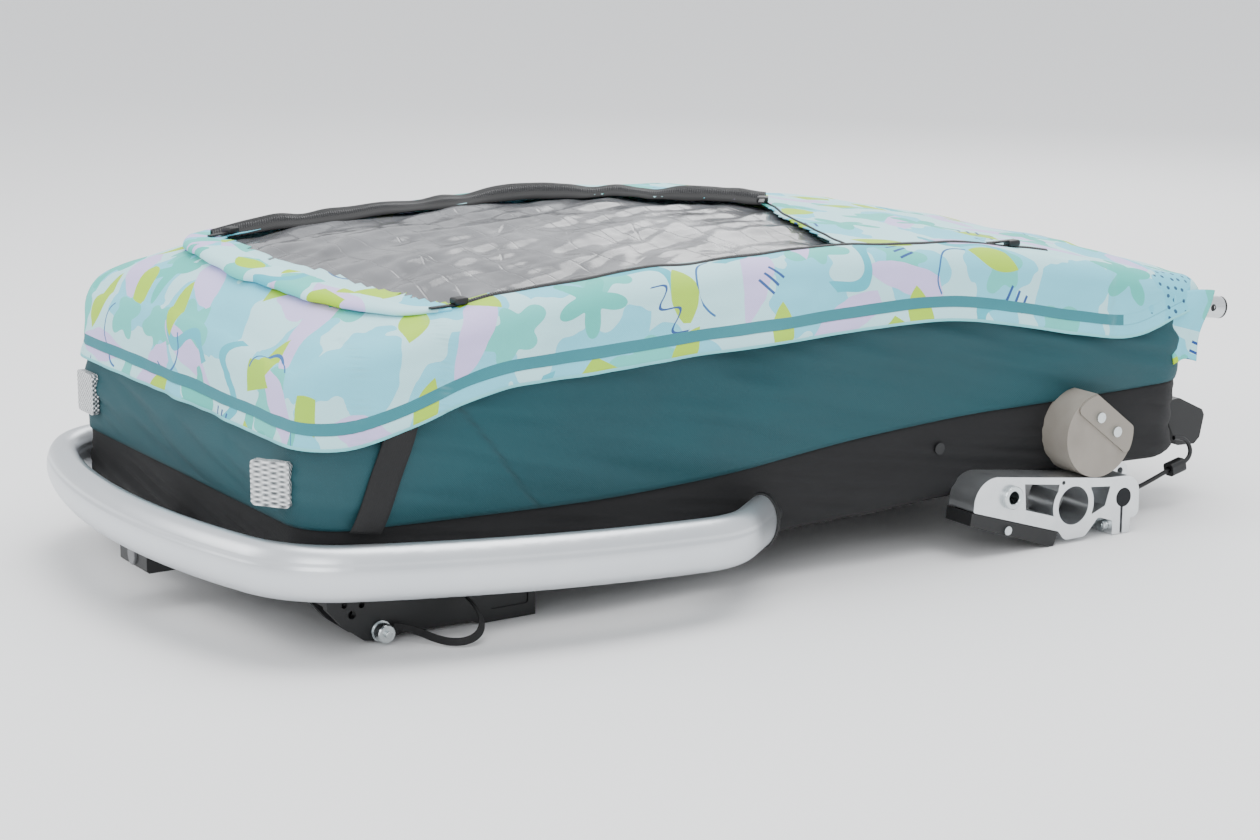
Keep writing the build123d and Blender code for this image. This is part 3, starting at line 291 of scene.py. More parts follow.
mill = Finish("mill_tube", tint("B9BCBE"), Metallic=0.9, Roughness=0.42)
spot = mill.place()
streak = mill.noise(mill.stretch(spot, (25, 25, 400)), 1, 4)
mill.feed("Roughness", 0.34 + 0.2 * streak)
mill.feed("Base Color", mill.blend(streak, tint("A9ADB0"), tint("C6C9CB")))
mill.relief(streak, 0.00003)
coat(
    mill, "frame_tube", "side_rail_left", "side_rail_right", "front_cross_tube",
    "tail_cross_tube", "axle_tube", "roof_cross_tubes",
)

# Rear suspension: each swing arm is sawn from an extruded aluminium profile, bored for its axle
# bush and clamped round a blackened shaft, and it presses on a grey elastomer block as a wheel
# rises. A coated plate and two button screws hold the block.
machined = Finish("machined_profile", tint("DDE0E2"), Metallic=0.95, Roughness=0.26)
spot = machined.place()
cutter = machined.noise(machined.stretch(spot, (30, 260, 260)), 1, 3)
dust = machined.noise(spot, 60, 4)
machined.feed("Roughness", 0.2 + 0.12 * cutter + 0.1 * dust)
machined.feed("Base Color", machined.blend(dust, tint("CBCFD2"), tint("E6E8E9")))
machined.relief(cutter, 0.00004)
coat(
    machined, "machined_aluminium", "swing_arm_left", "swing_arm_right", "rear_bracket_left",
    "rear_bracket_right", "roof_hinges", "backrest_hinge",
)

blackened = Finish("blackened_steel", tint("1B1C1F"), Metallic=0.7, Roughness=0.4)
spot = blackened.place()
turned = blackened.noise(blackened.stretch(spot, (1200, 40, 40)), 1, 2)
blackened.feed("Roughness", 0.32 + 0.16 * turned)
blackened.relief(turned, 0.00003)
coat(blackened, "black_steel", "arm_shaft_left", "arm_shaft_right")

plated = Finish("zinc_plate", tint("C9CED0"), Metallic=1.0, Roughness=0.2)
spot = plated.place()
bloom = plated.noise(spot, 220, 4)
plated.feed("Roughness", 0.13 + 0.2 * bloom)
plated.feed("Base Color", plated.blend(bloom, tint("B7BFC2"), tint("DDE2E2")))
plated.relief(bloom, 0.00003)
coat(
    plated, "zinc_steel", "axle_bush_left", "axle_bush_right", "arm_bolts_left",
    "arm_bolts_right", "hitch_pin_left", "hitch_pin_right", "pin_plunger_left",
    "pin_plunger_right", "roof_hinge_pins", "elastomer_screws",
)

foam = Finish("grey_elastomer", tint("8B857D"), Roughness=0.62)
spot = foam.place()
mottle = foam.noise(spot, 45, 5)
cells = foam.noise(spot, 900, 2)
foam.feed("Base Color", foam.blend(mottle, tint("7E786F"), tint("9A938A")))
foam.feed("Roughness", 0.52 + 0.2 * mottle)
foam.relief(cells, 0.00008)
coat(foam, "elastomer", "elastomer_left", "elastomer_right")

coated = Finish("coated_plate", tint("8F8980"), Metallic=0.35, Roughness=0.5)
spot = coated.place()
powder = coated.noise(spot, 1100, 2)
coated.feed("Roughness", 0.4 + 0.2 * powder)
coated.relief(powder, 0.00005)
coat(coated, "coated_plate", "elastomer_plates")

# Front socket's push button: a grey moulded oval that lets the stroller wheel's stem go.
button_grey = Finish("button_grey", tint("6A6B6D"), Roughness=0.45)
spot = button_grey.place()
wear = button_grey.noise(spot, 300, 3)
button_grey.feed("Roughness", 0.36 + 0.2 * wear)
button_grey.relief(wear, 0.00004)
coat(button_grey, "grey_plastic", "socket_button")

# Hitch pin lanyards: flat black webbing that loops from each pin's head to its bracket, and hangs
# just clear of the floor.
webbing = Finish("black_webbing", tint("141416"), Roughness=0.75)
spot = webbing.place()
spot_x, spot_y, spot_z = webbing.split(spot)
ribs = (1400 * (spot_x + spot_y)).wave() * (1400 * (spot_z - spot_y)).wave()
fuzz = webbing.noise(spot, 500, 3)
webbing.feed("Base Color", webbing.blend(fuzz, tint("060607"), tint("111113")))
webbing.relief(0.5 * ribs + fuzz, 0.00012)

LANYARD_ROUTE = [
    (216.5, -376.2, 13), (219, -366, 11), (228, -357, 8), (241, -351, 5), (254, -343, 3.6),
    (262, -332, 4.5), (262, -320, 8.5), (254, -312, 15), (241, -309, 22), (227, -309, 28),
    (211.8, -309, 31),
]
MM = 0.001


def strung(name, route, width, thick):
    """A cord's spline through its route; width above 0 makes it a flat strap."""
    line = bpy.data.curves.new(name, "CURVE")
    line.dimensions = "3D"
    line.resolution_u = 10
    spline = line.splines.new("NURBS")
    spline.points.add(len(route) - 1)
    for point, (x, y, z) in zip(spline.points, route):
        point.co = (x * MM, y * MM, z * MM, 1)
    spline.order_u = 3
    spline.use_endpoint_u = True
    line.bevel_depth = thick / 2
    line.bevel_resolution = 4
    line.extrude = width / 2
    line.use_fill_caps = True
    cord = bpy.data.objects.new(name, line)
    bpy.context.scene.collection.objects.link(cord)
    return cord


def line_of(cord):
    """The bare points of a cord's centre line."""
    kept = cord.data.bevel_depth, cord.data.extrude
    cord.data.bevel_depth, cord.data.extrude = 0, 0
    bpy.context.view_layer.update()
    bare = cord.evaluated_get(bpy.context.evaluated_depsgraph_get()).to_mesh()
    points = [tuple(v.co) for v in bare.vertices]
    cord.data.bevel_depth, cord.data.extrude = kept
    bpy.context.view_layer.update()
    return points


def as_mesh(thing):
    """A curve's object turned into a mesh."""
    drop_selection()
    thing.select_set(True)
    bpy.context.view_layer.objects.active = thing
    bpy.ops.object.convert(target="MESH")
    return bpy.context.object


for side, way in (("left", 1), ("right", -1)):
    route = [(way * x, y, z) for x, y, z in LANYARD_ROUTE]
    lanyard = strung("lanyard_webbing_" + side, route, 0.0052, 0.0016)
    lanyard_line = line_of(lanyard)
    lanyard = as_mesh(lanyard)
    lanyard.data.materials.append(webbing.material)
    bpy.ops.object.shade_smooth_by_angle(angle=math.radians(40))
    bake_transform(lanyard)
    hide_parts("pin_lanyard_" + side)

# Parking brake: a black pedal behind the tub pulls a thin sheathed cable, which comes out of the
# tub's rear wall and runs forward and down to the anchor beside the left arm.
CABLE_ROUTE = [
    (224, 484.3, 67), (224, 495, 66), (225, 503, 60), (227, 505, 51), (229, 499, 44),
    (230.5, 488, 41), (231, 474, 38), (231, 456, 32), (230, 438, 26), (229.3, 420, 21.5),
    (229.3, 407.2, 20),
]
sheath = Finish("cable_sheath", tint("121214"), Roughness=0.4)
spot = sheath.place()
rub = sheath.noise(spot, 260, 3)
sheath.feed("Roughness", 0.32 + 0.2 * rub)
sheath.relief(rub, 0.00004)
cable = strung("brake_cable_sheath", CABLE_ROUTE, 0, 0.0044)
cable.data.materials.append(sheath.material)
cable_line = line_of(cable)
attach(cable, "root")
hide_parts("brake_cable")

# Cabin floor: a black twin-wall board that lies on the rails. Its flutes run along the trailer.
board = Finish("twin_wall_board", tint("1C1D1F"), Roughness=0.55)
spot = board.place()
spot_x, spot_y, spot_z = board.split(spot)
flutes = (700 * spot_x).wave()
scuff = board.noise(spot, 20, 5)
board.feed("Roughness", 0.45 + 0.25 * scuff)
board.feed("Base Color", board.blend(scuff, tint("17181A"), tint("2B2C2E")))
board.relief(flutes, 0.0003)
coat(board, "floor_board", "floor_panel")

# Child seat: a padded cushion on the floor board and a padded backrest that lies folded forward
# over it. Both are grey polyester over foam, crowned, with piped edges and sewn channels.
padding = Finish("seat_polyester", tint("55575B"), Roughness=0.85)
spot = padding.place()
spot_x, spot_y, spot_z = padding.split(spot)
weave = (2600 * spot_x).wave() * (2600 * spot_y).wave()
lint = padding.noise(spot, 60, 5)
padding.feed("Base Color", padding.blend(lint, tint("3E4044"), tint("63656A")))
padding.relief(0.6 * weave + lint, 0.0002)


def smoothed(thing, levels):
    """Rounds a modelled piece off and closes the step."""
    drop_selection()
    thing.select_set(True)
    bpy.context.view_layer.objects.active = thing
    bpy.ops.object.modifier_add(type="SUBSURF")
    thing.modifiers[-1].levels = levels
    thing.modifiers[-1].render_levels = levels
    bpy.ops.object.modifier_apply(modifier=thing.modifiers[-1].name)
    bpy.ops.object.shade_smooth()


def cushion(name, low, high, channels):
    """A crowned pad that fills a box, sewn down along its channels."""
    drop_selection()
    middle = [(a + b) / 2 for a, b in zip(low, high)]
    span = [b - a for a, b in zip(low, high)]
    bpy.ops.mesh.primitive_cube_add(size=1, location=middle, scale=span)
    pad = bpy.context.object
    pad.name = name
    bpy.ops.object.transform_apply(location=True, rotation=True, scale=True)
    bpy.ops.object.mode_set(mode="EDIT")
    bpy.ops.mesh.subdivide(number_cuts=31)
    bpy.ops.object.mode_set(mode="OBJECT")
    for v in pad.data.vertices:
        across = abs(v.co.x - middle[0]) / (span[0] / 2)
        along = abs(v.co.y - middle[1]) / (span[1] / 2)
        edge = max(0, (1 - across**6) * (1 - along**6))
        sewn = min(abs(v.co.y - y) for y in channels) if channels else 1
        dip = 0.35 * math.exp(-((sewn / 0.006) ** 2))
        v.co.z = middle[2] + (v.co.z - middle[2]) * (0.35 + 0.65 * edge**0.35) * (1 - dip)
        squeeze = 1 - 0.02 * abs(v.co.z - middle[2]) / (span[2] / 2)
        v.co.x = middle[0] + (v.co.x - middle[0]) * squeeze
    smoothed(pad, 1)
    pad.data.materials.append(padding.material)
    return pad


seat_low, seat_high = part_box("seat_cushion")
seat = cushion("seat_pad", seat_low, seat_high, (-0.075, 0.0, 0.075))
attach(seat, "root")
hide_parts("seat_cushion")
back_low, back_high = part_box("backrest")
rest_pad = cushion("backrest_pad", back_low, back_high, (0.05, 0.17, 0.29))
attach(rest_pad, "backrest")
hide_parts("backrest")


# Tub: black coated polyester, sewn as a shallow tray round the rails. It hangs a little slack
# between the bumper and the rear brackets, and its upper edge is seamed to the side cloth.
def through(points, at):
    """A smooth line through (place, value) pairs, read at any place."""
    xs = np.array([p[0] for p in points], float) * MM
    ys = np.array([p[1] for p in points], float) * MM
    slope = np.gradient(ys, xs)
    k = np.clip(np.searchsorted(xs, at) - 1, 0, len(xs) - 2)
    step = xs[k + 1] - xs[k]
    t = np.clip((at - xs[k]) / step, 0, 1)
    return (
        ys[k] * (2 * t**3 - 3 * t**2 + 1) + slope[k] * step * (t**3 - 2 * t**2 + t)
        + ys[k + 1] * (3 * t**2 - 2 * t**3) + slope[k + 1] * step * (t**3 - t**2)
    )


def ripple(x, y, length, seed):
    """Soft unevenness of hand-sewn cloth, from -1 to 1, about that long from crest to crest."""
    draw = np.random.RandomState(seed)
    total = np.zeros_like(x)
    for turn, phase, scale in zip(draw.rand(9) * 6.283, draw.rand(9) * 6.283, 0.6 + draw.rand(9)):
        way = (x * math.cos(turn) + y * math.sin(turn)) * 6.283 / length * scale
        total += np.sin(way + phase + 0.7 * np.sin(way * 0.37 + 2 * phase))
    return total / 4


def lay_cloth(name, across, along, put):
    """A grid of cloth; put() lays its points out and gives their place on the flat cut."""
    drop_selection()
    bpy.ops.mesh.primitive_grid_add(x_subdivisions=across, y_subdivisions=along, size=2)
    cloth = bpy.context.object
    cloth.name = name
    mesh = cloth.data
    grid = np.zeros(len(mesh.vertices) * 3)
    mesh.vertices.foreach_get("co", grid)
    grid = grid.reshape(-1, 3)
    points, cut = put(grid[:, 0], grid[:, 1])
    mesh.vertices.foreach_set("co", points.ravel())
    corner = np.zeros(len(mesh.loops), int)
    mesh.loops.foreach_get("vertex_index", corner)
    mesh.uv_layers[0].name = "cut"
    mesh.uv_layers[0].data.foreach_set("uv", cut[corner].ravel())
    mesh.update()
    return cloth


def mark(cloth, name, values):
    """Stores a number for each point of the cloth, for its finish."""
    layer = cloth.data.attributes.new(name, "FLOAT", "POINT")
    layer.data.foreach_set("value", values.astype(np.float32))


def hem_closed(cloth, finish, thick):
    """Joins a ring of cloth, gives it its thickness and its finish."""
    drop_selection()
    cloth.select_set(True)
    bpy.context.view_layer.objects.active = cloth
    bpy.ops.object.mode_set(mode="EDIT")
    bpy.ops.mesh.select_all(action="SELECT")
    bpy.ops.mesh.remove_doubles(threshold=0.00005)
    bpy.ops.object.mode_set(mode="OBJECT")
    bpy.ops.object.modifier_add(type="SOLIDIFY")
    cloth.modifiers[-1].thickness = thick
    cloth.modifiers[-1].offset = -1
    bpy.ops.object.modifier_apply(modifier=cloth.modifiers[-1].name)
    bpy.ops.object.shade_smooth()
    cloth.data.materials.append(finish.material)


def ring(a, half, front, rear, corner):
    """Points and outward directions round a plan with rounded corners; a runs from -1 to 1."""
    straight_x, straight_y = 2 * (half - corner), (rear - front) - 2 * corner
    bend = math.pi / 2 * corner
    whole = 2 * (straight_x + straight_y) + 4 * bend
    way = (a + 1) / 2 * whole
    middle = (front + rear) / 2
    x, y = np.zeros_like(a), np.zeros_like(a)
    nx, ny = np.zeros_like(a), np.zeros_like(a)
    start = 0.0
    # from the middle of the rear wall, down the left side, round the front and back
    heading, px, py = math.pi, 0.0, rear
    legs = [
        (straight_x / 2, 0), (bend, 1), (straight_y, 0), (bend, 1), (straight_x, 0), (bend, 1),
        (straight_y, 0), (bend, 1), (straight_x / 2, 0),
    ]
    for long, turning in legs:
        on = (way >= start - 1e-9) & (way <= start + long + 1e-9)
        s = way[on] - start
        if turning:
            turned = heading + s / corner
            cx, cy = px - corner * math.sin(heading), py + corner * math.cos(heading)
            x[on], y[on] = cx + corner * np.sin(turned), cy - corner * np.cos(turned)
            nx[on], ny[on] = np.sin(turned), -np.cos(turned)
            heading += long / corner
            px, py = cx + corner * math.sin(heading), cy - corner * math.cos(heading)
        else:
            x[on], y[on] = px + s * math.cos(heading), py + s * math.sin(heading)
            nx[on], ny[on] = math.sin(heading), -math.cos(heading)
            px, py = px + long * math.cos(heading), py + long * math.sin(heading)
        start += long
    return x, y, nx, ny, way


SEAM = [
    (-500, 112), (-330, 106), (-180, 103), (-60, 108), (60, 120), (200, 128), (330, 129),
    (450, 131), (520, 133),
]
TUB_HALF, TUB_FRONT, TUB_REAR, TUB_CORNER = 0.244, -0.4627, 0.484, 0.042
TUB_FLOOR = [(-520, 48), (130, 48), (180, 51), (230, 54), (520, 54)]

tub_cloth = Finish("tub_polyester", tint("17171A"), Roughness=0.8)
cut = tub_cloth.flat()
cut_x, cut_y, _ = tub_cloth.split(cut)
weave = (3100 * cut_x).wave() * (3100 * cut_y).wave()
dust = tub_cloth.noise(cut, 9, 5)
slub = tub_cloth.noise(tub_cloth.stretch(cut, (160, 900, 1)), 1, 3)
tub_cloth.feed("Base Color", tub_cloth.blend(dust, tint("060608"), tint("101013")))
tub_cloth.feed("Roughness", 0.66 + 0.22 * dust)
tub_cloth.relief(0.5 * weave + slub, 0.00025)


def put_tub(a, b):
    """Lays the tub out: down its wall, round its lower edge and in under the rails."""
    x, y, nx, ny, way = ring(-a, TUB_HALF, TUB_FRONT, TUB_REAR, TUB_CORNER)
    top, low = through(SEAM, y), through(TUB_FLOOR, y)
    wall, roll = 0.62, 0.8
    t = (b + 1) / 2
    down = np.clip((1 - t) / wall, 0, 1)
    turn = np.clip((1 - t - wall) / (roll - wall), 0, 1) * math.pi / 2
    inside = np.clip((1 - t - roll) / (1 - roll), 0, 1)
    edge = 0.014
    z = top - (top - low - edge) * down - edge * np.sin(turn)
    inset = edge * (1 - np.cos(turn)) + inside * 0.13
    slack = 0.0022 * ripple(way, z * 2, 0.13, 5) * np.clip(down * (1.2 - down) * 4, 0, 1)
    slack += 0.0012 * ripple(way * 0.6 + z * 3, z, 0.05, 9) * np.clip(down * 3, 0, 1)
    slack -= 0.004 * np.exp(-(((y - 0.02) / 0.09) ** 2)) * np.clip(down, 0, 1)
    out = -inset + slack * (1 - inside)
    points = np.stack([x + nx * out, y + ny * out, z - 0.002 * inside], 1)
    return points, np.stack([way, t * 0.26], 1)


tub = lay_cloth("tub_cloth", 560, 26, put_tub)
hem_closed(tub, tub_cloth, 0.0012)
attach(tub, "root")
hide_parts("tub_fabric")

# Side cloth: deep teal coated polyester between the tub and the cover. It lies in soft slanting
# folds over the folded frame, with one curved panel seam behind each front corner.
side_cloth = Finish("teal_polyester", tint("0F4B53"), Roughness=0.72)
cut = side_cloth.flat()
cut_x, cut_y, _ = side_cloth.split(cut)
weave = (3300 * cut_x).wave() * (3300 * cut_y).wave()
fade = side_cloth.noise(cut, 7, 4)
slub = side_cloth.noise(side_cloth.stretch(cut, (200, 1100, 1)), 1, 3)
sewn = side_cloth.node("ShaderNodeAttribute", {"attribute_name": "sewn"}, {}, "Fac")
hue = side_cloth.blend(fade, tint("053A42"), tint("0C4A52"))
side_cloth.feed("Base Color", side_cloth.blend(0.45 * sewn, hue, tint("06282D")))
side_cloth.feed("Roughness", 0.6 + 0.2 * fade)
side_cloth.relief(0.4 * weave + 0.8 * slub - 2.5 * sewn, 0.00025)

HEM = [
    (-500, 176), (-430, 177), (-380, 187), (-310, 207), (-200, 213), (-60, 219), (60, 221),
    (180, 219), (260, 205), (330, 190), (400, 181), (450, 192), (520, 212),
]
PANEL_SEAM = [(100, -249), (141, -282), (178, -310), (211, -338)]


def put_side(a, b):
    """Lays the side cloth out from the tub's seam up to under the cover's hem."""
    x, y, nx, ny, way = ring(-a, TUB_HALF, TUB_FRONT, TUB_REAR, TUB_CORNER)
    low = through(SEAM, y)
    top = through(HEM, y) + 0.012
    rear = np.clip((y - 0.47) / 0.012, 0, 1) * np.clip((0.235 - abs(x)) / 0.02, 0, 1)
    top = top * (1 - rear) + 0.182 * rear
    t = (b + 1) / 2
    z = low + (top - low) * t
    belly = np.sin(math.pi * np.clip(t, 0, 1)) ** 0.7
    fold = 0.0042 * ripple(way + 1.3 * z, z * 0.7, 0.17, 21)
    fold += 0.0024 * ripple(way * 0.8 + 2.4 * z, z, 0.07, 4)
    gap = -0.012 * np.exp(-(((y + 0.03) / 0.05) ** 2)) * np.clip(t * 2 - 1, 0, 1) * abs(nx)
    out = 0.002 + belly * (0.0035 + fold) + gap
    tucked = np.clip((t - 0.55) / 0.25, 0, 1) * abs(ny)
    out = np.minimum(out, 0.0088 - 0.0078 * tucked)
    points = np.stack([x + nx * out, y + ny * out, z], 1)
    return points, np.stack([way, z], 1)


side = lay_cloth("side_cloth", 620, 26, put_side)
spots = np.array([v.co for v in side.data.vertices])
seam_y = through(PANEL_SEAM, spots[:, 2])
mark(side, "sewn", np.clip(1 - abs(spots[:, 1] - seam_y) / 0.004, 0, 1) * (abs(spots[:, 0]) > 0.23))
hem_closed(side, side_cloth, 0.0009)
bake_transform(side)
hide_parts("side_fabric")

# Cover: pale printed polyester, sewn as a boxed lid over the roof frame. A teal tape runs just
# above its hem, the hem is bound in the print, and a light piping closes its edge. It is laid out
# as one fixed piece that curves down at the front, where the roof frame hinges.
STATIONS = [
    (-466, 252, 206, 226), (-452, 253, 232, 250), (-425, 254, 252, 272), (-385, 255, 263, 290),
    (-300, 255, 277, 301), (-150, 255, 290, 303), (40, 255, 293, 303), (200, 254, 282, 291),
    (330, 253, 261, 271), (430, 252, 240, 250), (508, 246, 223, 230),
]
SHOULDER_IN, END_IN, ROLL_DROP = 0.024, 0.012, 0.02
COVER_FRONT, COVER_REAR, COVER_CORNER = -0.466, 0.508, 0.046
TOP_SHARE = 0.75


def crown(x, y):
    """Height of the cover's top at a place in plan."""
    shoulder = through([(s[0], s[2]) for s in STATIONS], y)
    middle = through([(s[0], s[3]) for s in STATIONS], y)
    half = through([(s[0], s[1]) for s in STATIONS], y) - SHOULDER_IN
    return middle - (middle - shoulder) * np.clip(abs(x) / half, 0, 1.05) ** 2


def cover_swell(x, y):
    """How far the top cloth stands off its fair shape: slack folds and a filled front edge."""
    soft = 0.0022 * ripple(x, y, 0.16, 3) + 0.0009 * ripple(x + 0.4 * y, y, 0.055, 8)
    front = 0.004 * np.exp(-(((y + 0.438) / 0.018) ** 2)) * (1 + ripple(x, y * 0, 0.14, 12))
    return soft + front


def put_cover(a, b, above):
    """Lays the cover out and notes in above how far each point is from its hem."""
    wide, long = 0.255 / 0.352, 0.487 / 0.575
    skirt = 1 - TOP_SHARE
    past_a, past_b = (abs(a) - wide) / (1 - wide), (abs(b) - long) / (1 - long)
    ra = np.where(abs(a) < wide, abs(a) / wide * TOP_SHARE, TOP_SHARE + past_a * skirt)
    rb = np.where(abs(b) < long, abs(b) / long * TOP_SHARE, TOP_SHARE + past_b * skirt)
    r = np.maximum(np.maximum(ra, rb), 1e-6)
    sa, sb = np.sign(a) * ra / r, np.sign(b) * rb / r
    middle, reach = (COVER_FRONT + COVER_REAR) / 2, (COVER_REAR - COVER_FRONT) / 2
    x, y = sa * 0.255, sb * reach
    dx, dy = abs(x) - (0.255 - COVER_CORNER), abs(y) - (reach - COVER_CORNER)
    turned = np.arctan2(np.maximum(dy, 0), np.maximum(dx, 0))
    in_corner = (dx > 0) & (dy > 0)
    side_on = abs(sa) >= abs(sb)
    nx = np.where(in_corner, np.cos(turned) * np.sign(x), np.where(side_on, np.sign(sa), 0))
    ny = np.where(in_corner, np.sin(turned) * np.sign(y), np.where(side_on, 0, np.sign(sb)))
    x = np.where(in_corner, np.sign(x) * (0.255 - COVER_CORNER) + COVER_CORNER * nx, x)
    y = np.where(in_corner, np.sign(y) * (reach - COVER_CORNER) + COVER_CORNER * ny, y) + middle
    x = x * through([(s[0], s[1]) for s in STATIONS], y) / 0.255
    inset = SHOULDER_IN * nx**2 + END_IN * ny**2
    edge_x, edge_y = x - nx * inset, y - ny * inset
    share = np.clip(r / TOP_SHARE, 0, 1)
    top_x, top_y = edge_x * share, middle + (edge_y - middle) * share
    edge_z = crown(edge_x, edge_y)
    hem_z = through(HEM, y)
    roll = 0.035
    fall = np.maximum(edge_z - ROLL_DROP - hem_z, 0.002)
    q = np.clip((r - TOP_SHARE) / (1 - TOP_SHARE), 0, 1) * (roll + fall)
    bend = np.clip(q / roll, 0, 1) * math.pi / 2
    hang = np.maximum(q - roll, 0)
    left = roll + fall - q
    out = -inset * (1 - np.sin(bend))
    flare = 0.0035 * np.exp(-((left / 0.012) ** 2))
    puff = 0.0022 * ripple(x + y, hang, 0.12, 31) + 0.001 * ripple(x - y, hang * 2, 0.05, 33)
    lift = 0.007 * np.exp(-(((y + 0.03) / 0.06) ** 2)) * np.clip(hang / 0.03, 0, 1) * abs(nx)
    wall = out + (flare + puff + lift) * np.clip(q / 0.02, 0, 1)
    on_top = r <= TOP_SHARE
    px = np.where(on_top, top_x, x + nx * wall)
    py = np.where(on_top, top_y, y + ny * wall)
    pz = np.where(on_top, crown(top_x, top_y), edge_z - ROLL_DROP * (1 - np.cos(bend)) - hang)
    pz = pz + cover_swell(top_x, top_y) * np.clip(1 - q / 0.03, 0, 1) + 0.0012
    above.append(np.where(on_top, roll + fall + 0.2 * (1 - share), left))
    flat_x = np.where(on_top, top_x, edge_x + nx * q)
    flat_y = np.where(on_top, top_y, edge_y + ny * q)
    return np.stack([px, py, pz], 1), np.stack([flat_x, flat_y], 1)


WINDOW = [
    (-165, -350), (-90, -372), (0, -381), (70, -378), (132, -366), (181, -345), (218, -322),
    (222, -230), (225, -130), (226, -20), (222, 78), (150, 95), (102, 108), (40, 130), (-8, 155),
    (-50, 103), (-100, 57), (-138, 5), (-152, -57), (-150, -130), (-152, -250),
]


def inside_window(x, y, grown):
    """Whether a place in plan is in the window, grown by so much all round."""
    corners = np.array(WINDOW) * MM
    middle = corners.mean(0)
    away = corners - middle
    corners = corners + away / np.linalg.norm(away, axis=1)[:, None] * grown
    hit = np.zeros(len(x), bool)
    for (x0, y0), (x1, y1) in zip(corners, np.roll(corners, -1, 0)):
        crosses = (y0 > y) != (y1 > y)
        hit ^= crosses & (x < (x1 - x0) * (y - y0) / (y1 - y0 + 1e-12) + x0)
    return hit


def cut_away(cloth, unwanted):
    """Cuts faces out of a cloth."""
    drop_selection()
    bpy.context.view_layer.objects.active = cloth
    cloth.select_set(True)
    bpy.ops.object.mode_set(mode="EDIT")
    bpy.ops.mesh.select_mode(type="FACE")
    bpy.ops.mesh.select_all(action="DESELECT")
    bpy.ops.object.mode_set(mode="OBJECT")
    cloth.data.polygons.foreach_set("select", unwanted)
    bpy.ops.object.mode_set(mode="EDIT")
    bpy.ops.mesh.delete(type="FACE")
    bpy.ops.object.mode_set(mode="OBJECT")


def centres(cloth):
    middle = np.zeros(len(cloth.data.polygons) * 3)
    cloth.data.polygons.foreach_get("center", middle)
    return middle.reshape(-1, 3)


# The print: cut-paper blobs, leaves, stars and strokes in sky blue, aqua, lilac and lime on pale
# mint, with thin navy squiggles and ticks.
def printed(name):
    """The cover's print with its woven ground."""
    cloth = Finish(name, tint("CDEFF2"), Roughness=0.75)
    whole = cloth.flat()
    cut = cloth.stretch(whole, (0.76, 0.76, 1))

    def scattered(spacing, shift, jitter=0.8):
        """A stamp's own x, y, and two random numbers, one stamp to each cell."""
        moved = (shift, shift * 1.7, 0)
        where = cloth.node("ShaderNodeVectorMath", {"operation": "ADD"}, (cut, moved))
        cell = cloth.node(
            "ShaderNodeTexVoronoi", {"voronoi_dimensions": "2D"},
            {"Vector": where, "Scale": 1 / spacing, "Randomness": jitter}, "Position",
        )
        chance = Tone(cloth, cell.socket.node.outputs["Color"])
        own = cloth.node("ShaderNodeVectorMath", {"operation": "SUBTRACT"}, (where, cell))
        luck, second, third = cloth.split(chance)
        turned = cloth.node(
            "ShaderNodeVectorRotate", {"rotation_type": "Z_AXIS"},
            {"Vector": own, "Angle": 6.283 * luck}, "Vector",
        )
        x, y, z = cloth.split(turned)
        return x, y, second, third

    def radius(x, y):
        return (x * x + y * y).made("SQRT")

    def turn(x, y):
        return y.made("ARCTAN2", x)

    wobble = cloth.noise(cut, 26, 2) - 0.5
    hue = tint("B6E7ED")

    # large soft blobs in sky blue
    x, y, chance, other = scattered(0.082, 0.31)
    blob = radius(x, y) + 0.05 * wobble + 0.006 * (3 * turn(x, y)).wave() < 0.026 + 0.016 * other
    hue = cloth.blend(blob * (chance > 0.25), hue, tint("72CFE4"))
    # lobed aqua clouds
    x, y, chance, other = scattered(0.076, 1.13)
    lobes = 0.005 * (5 * turn(x, y)).wave()
    cloud = radius(x, 1.5 * y) - lobes + 0.02 * wobble < 0.021 + 0.008 * other
    hue = cloth.blend(cloud * (chance > 0.35), hue, tint("58C6BC"))
    # lilac petals
    x, y, chance, other = scattered(0.07, 2.47)
    petal = y.size() + 7 * x * x + 0.012 * wobble < 0.011
    hue = cloth.blend(petal * (chance > 0.4), hue, tint("CBBDEB"))
    # aqua crowns and wavy ribbons
    x, y, chance, other = scattered(0.088, 3.9)
    star = radius(x, y) < 0.019 + 0.008 * (5 * turn(x, y)).wave()
    hue = cloth.blend(star * (chance > 0.62), hue, tint("45BDB0"))
    ribbon = ((y - 0.009 * (120 * x).wave()).size() < 0.005) * (x.size() < 0.034)
    hue = cloth.blend(ribbon * (chance < 0.3), hue, tint("3FB4C6"))
    # lime leaves, cut corners and bars
    x, y, chance, other = scattered(0.066, 5.2)
    leaf = y.size() + 22 * (x - 0.004).made("POWER", 2) < 0.0085 + 0.003 * other
    hue = cloth.blend(leaf * (chance > 0.55), hue, tint("A9D200"))
    x, y, chance, other = scattered(0.074, 6.6)
    chip = (x.size() + 0.35 * y < 0.013) * (y.size() < 0.011)
    hue = cloth.blend(chip * (chance > 0.55), hue, tint("A2CE00"))
    # navy squiggles, ticks and thin arcs
    x, y, chance, other = scattered(0.105, 7.7)
    squiggle = ((y - 0.006 * (330 * x).wave()).size() < 0.0011) * (x.size() < 0.021)
    hue = cloth.blend(squiggle * (chance > 0.62), hue, tint("123E86"))
    arc = ((radius(x, y) - 0.024).size() < 0.0007) * (x > 0.008)
    hue = cloth.blend(arc * (chance < 0.3), hue, tint("145C9C"))
    x, y, chance, other = scattered(0.12, 9.1)
    tick = ((x.made("PINGPONG", 0.0034) < 0.001) * (x.size() < 0.0085)) * (y.size() < 0.007)
    hue = cloth.blend(tick * (chance > 0.5), hue, tint("123E86"))
    return cloth, whole, hue


cover_print, cut, hue = printed("cover_polyester")
cut_x, cut_y, _ = cover_print.split(cut)
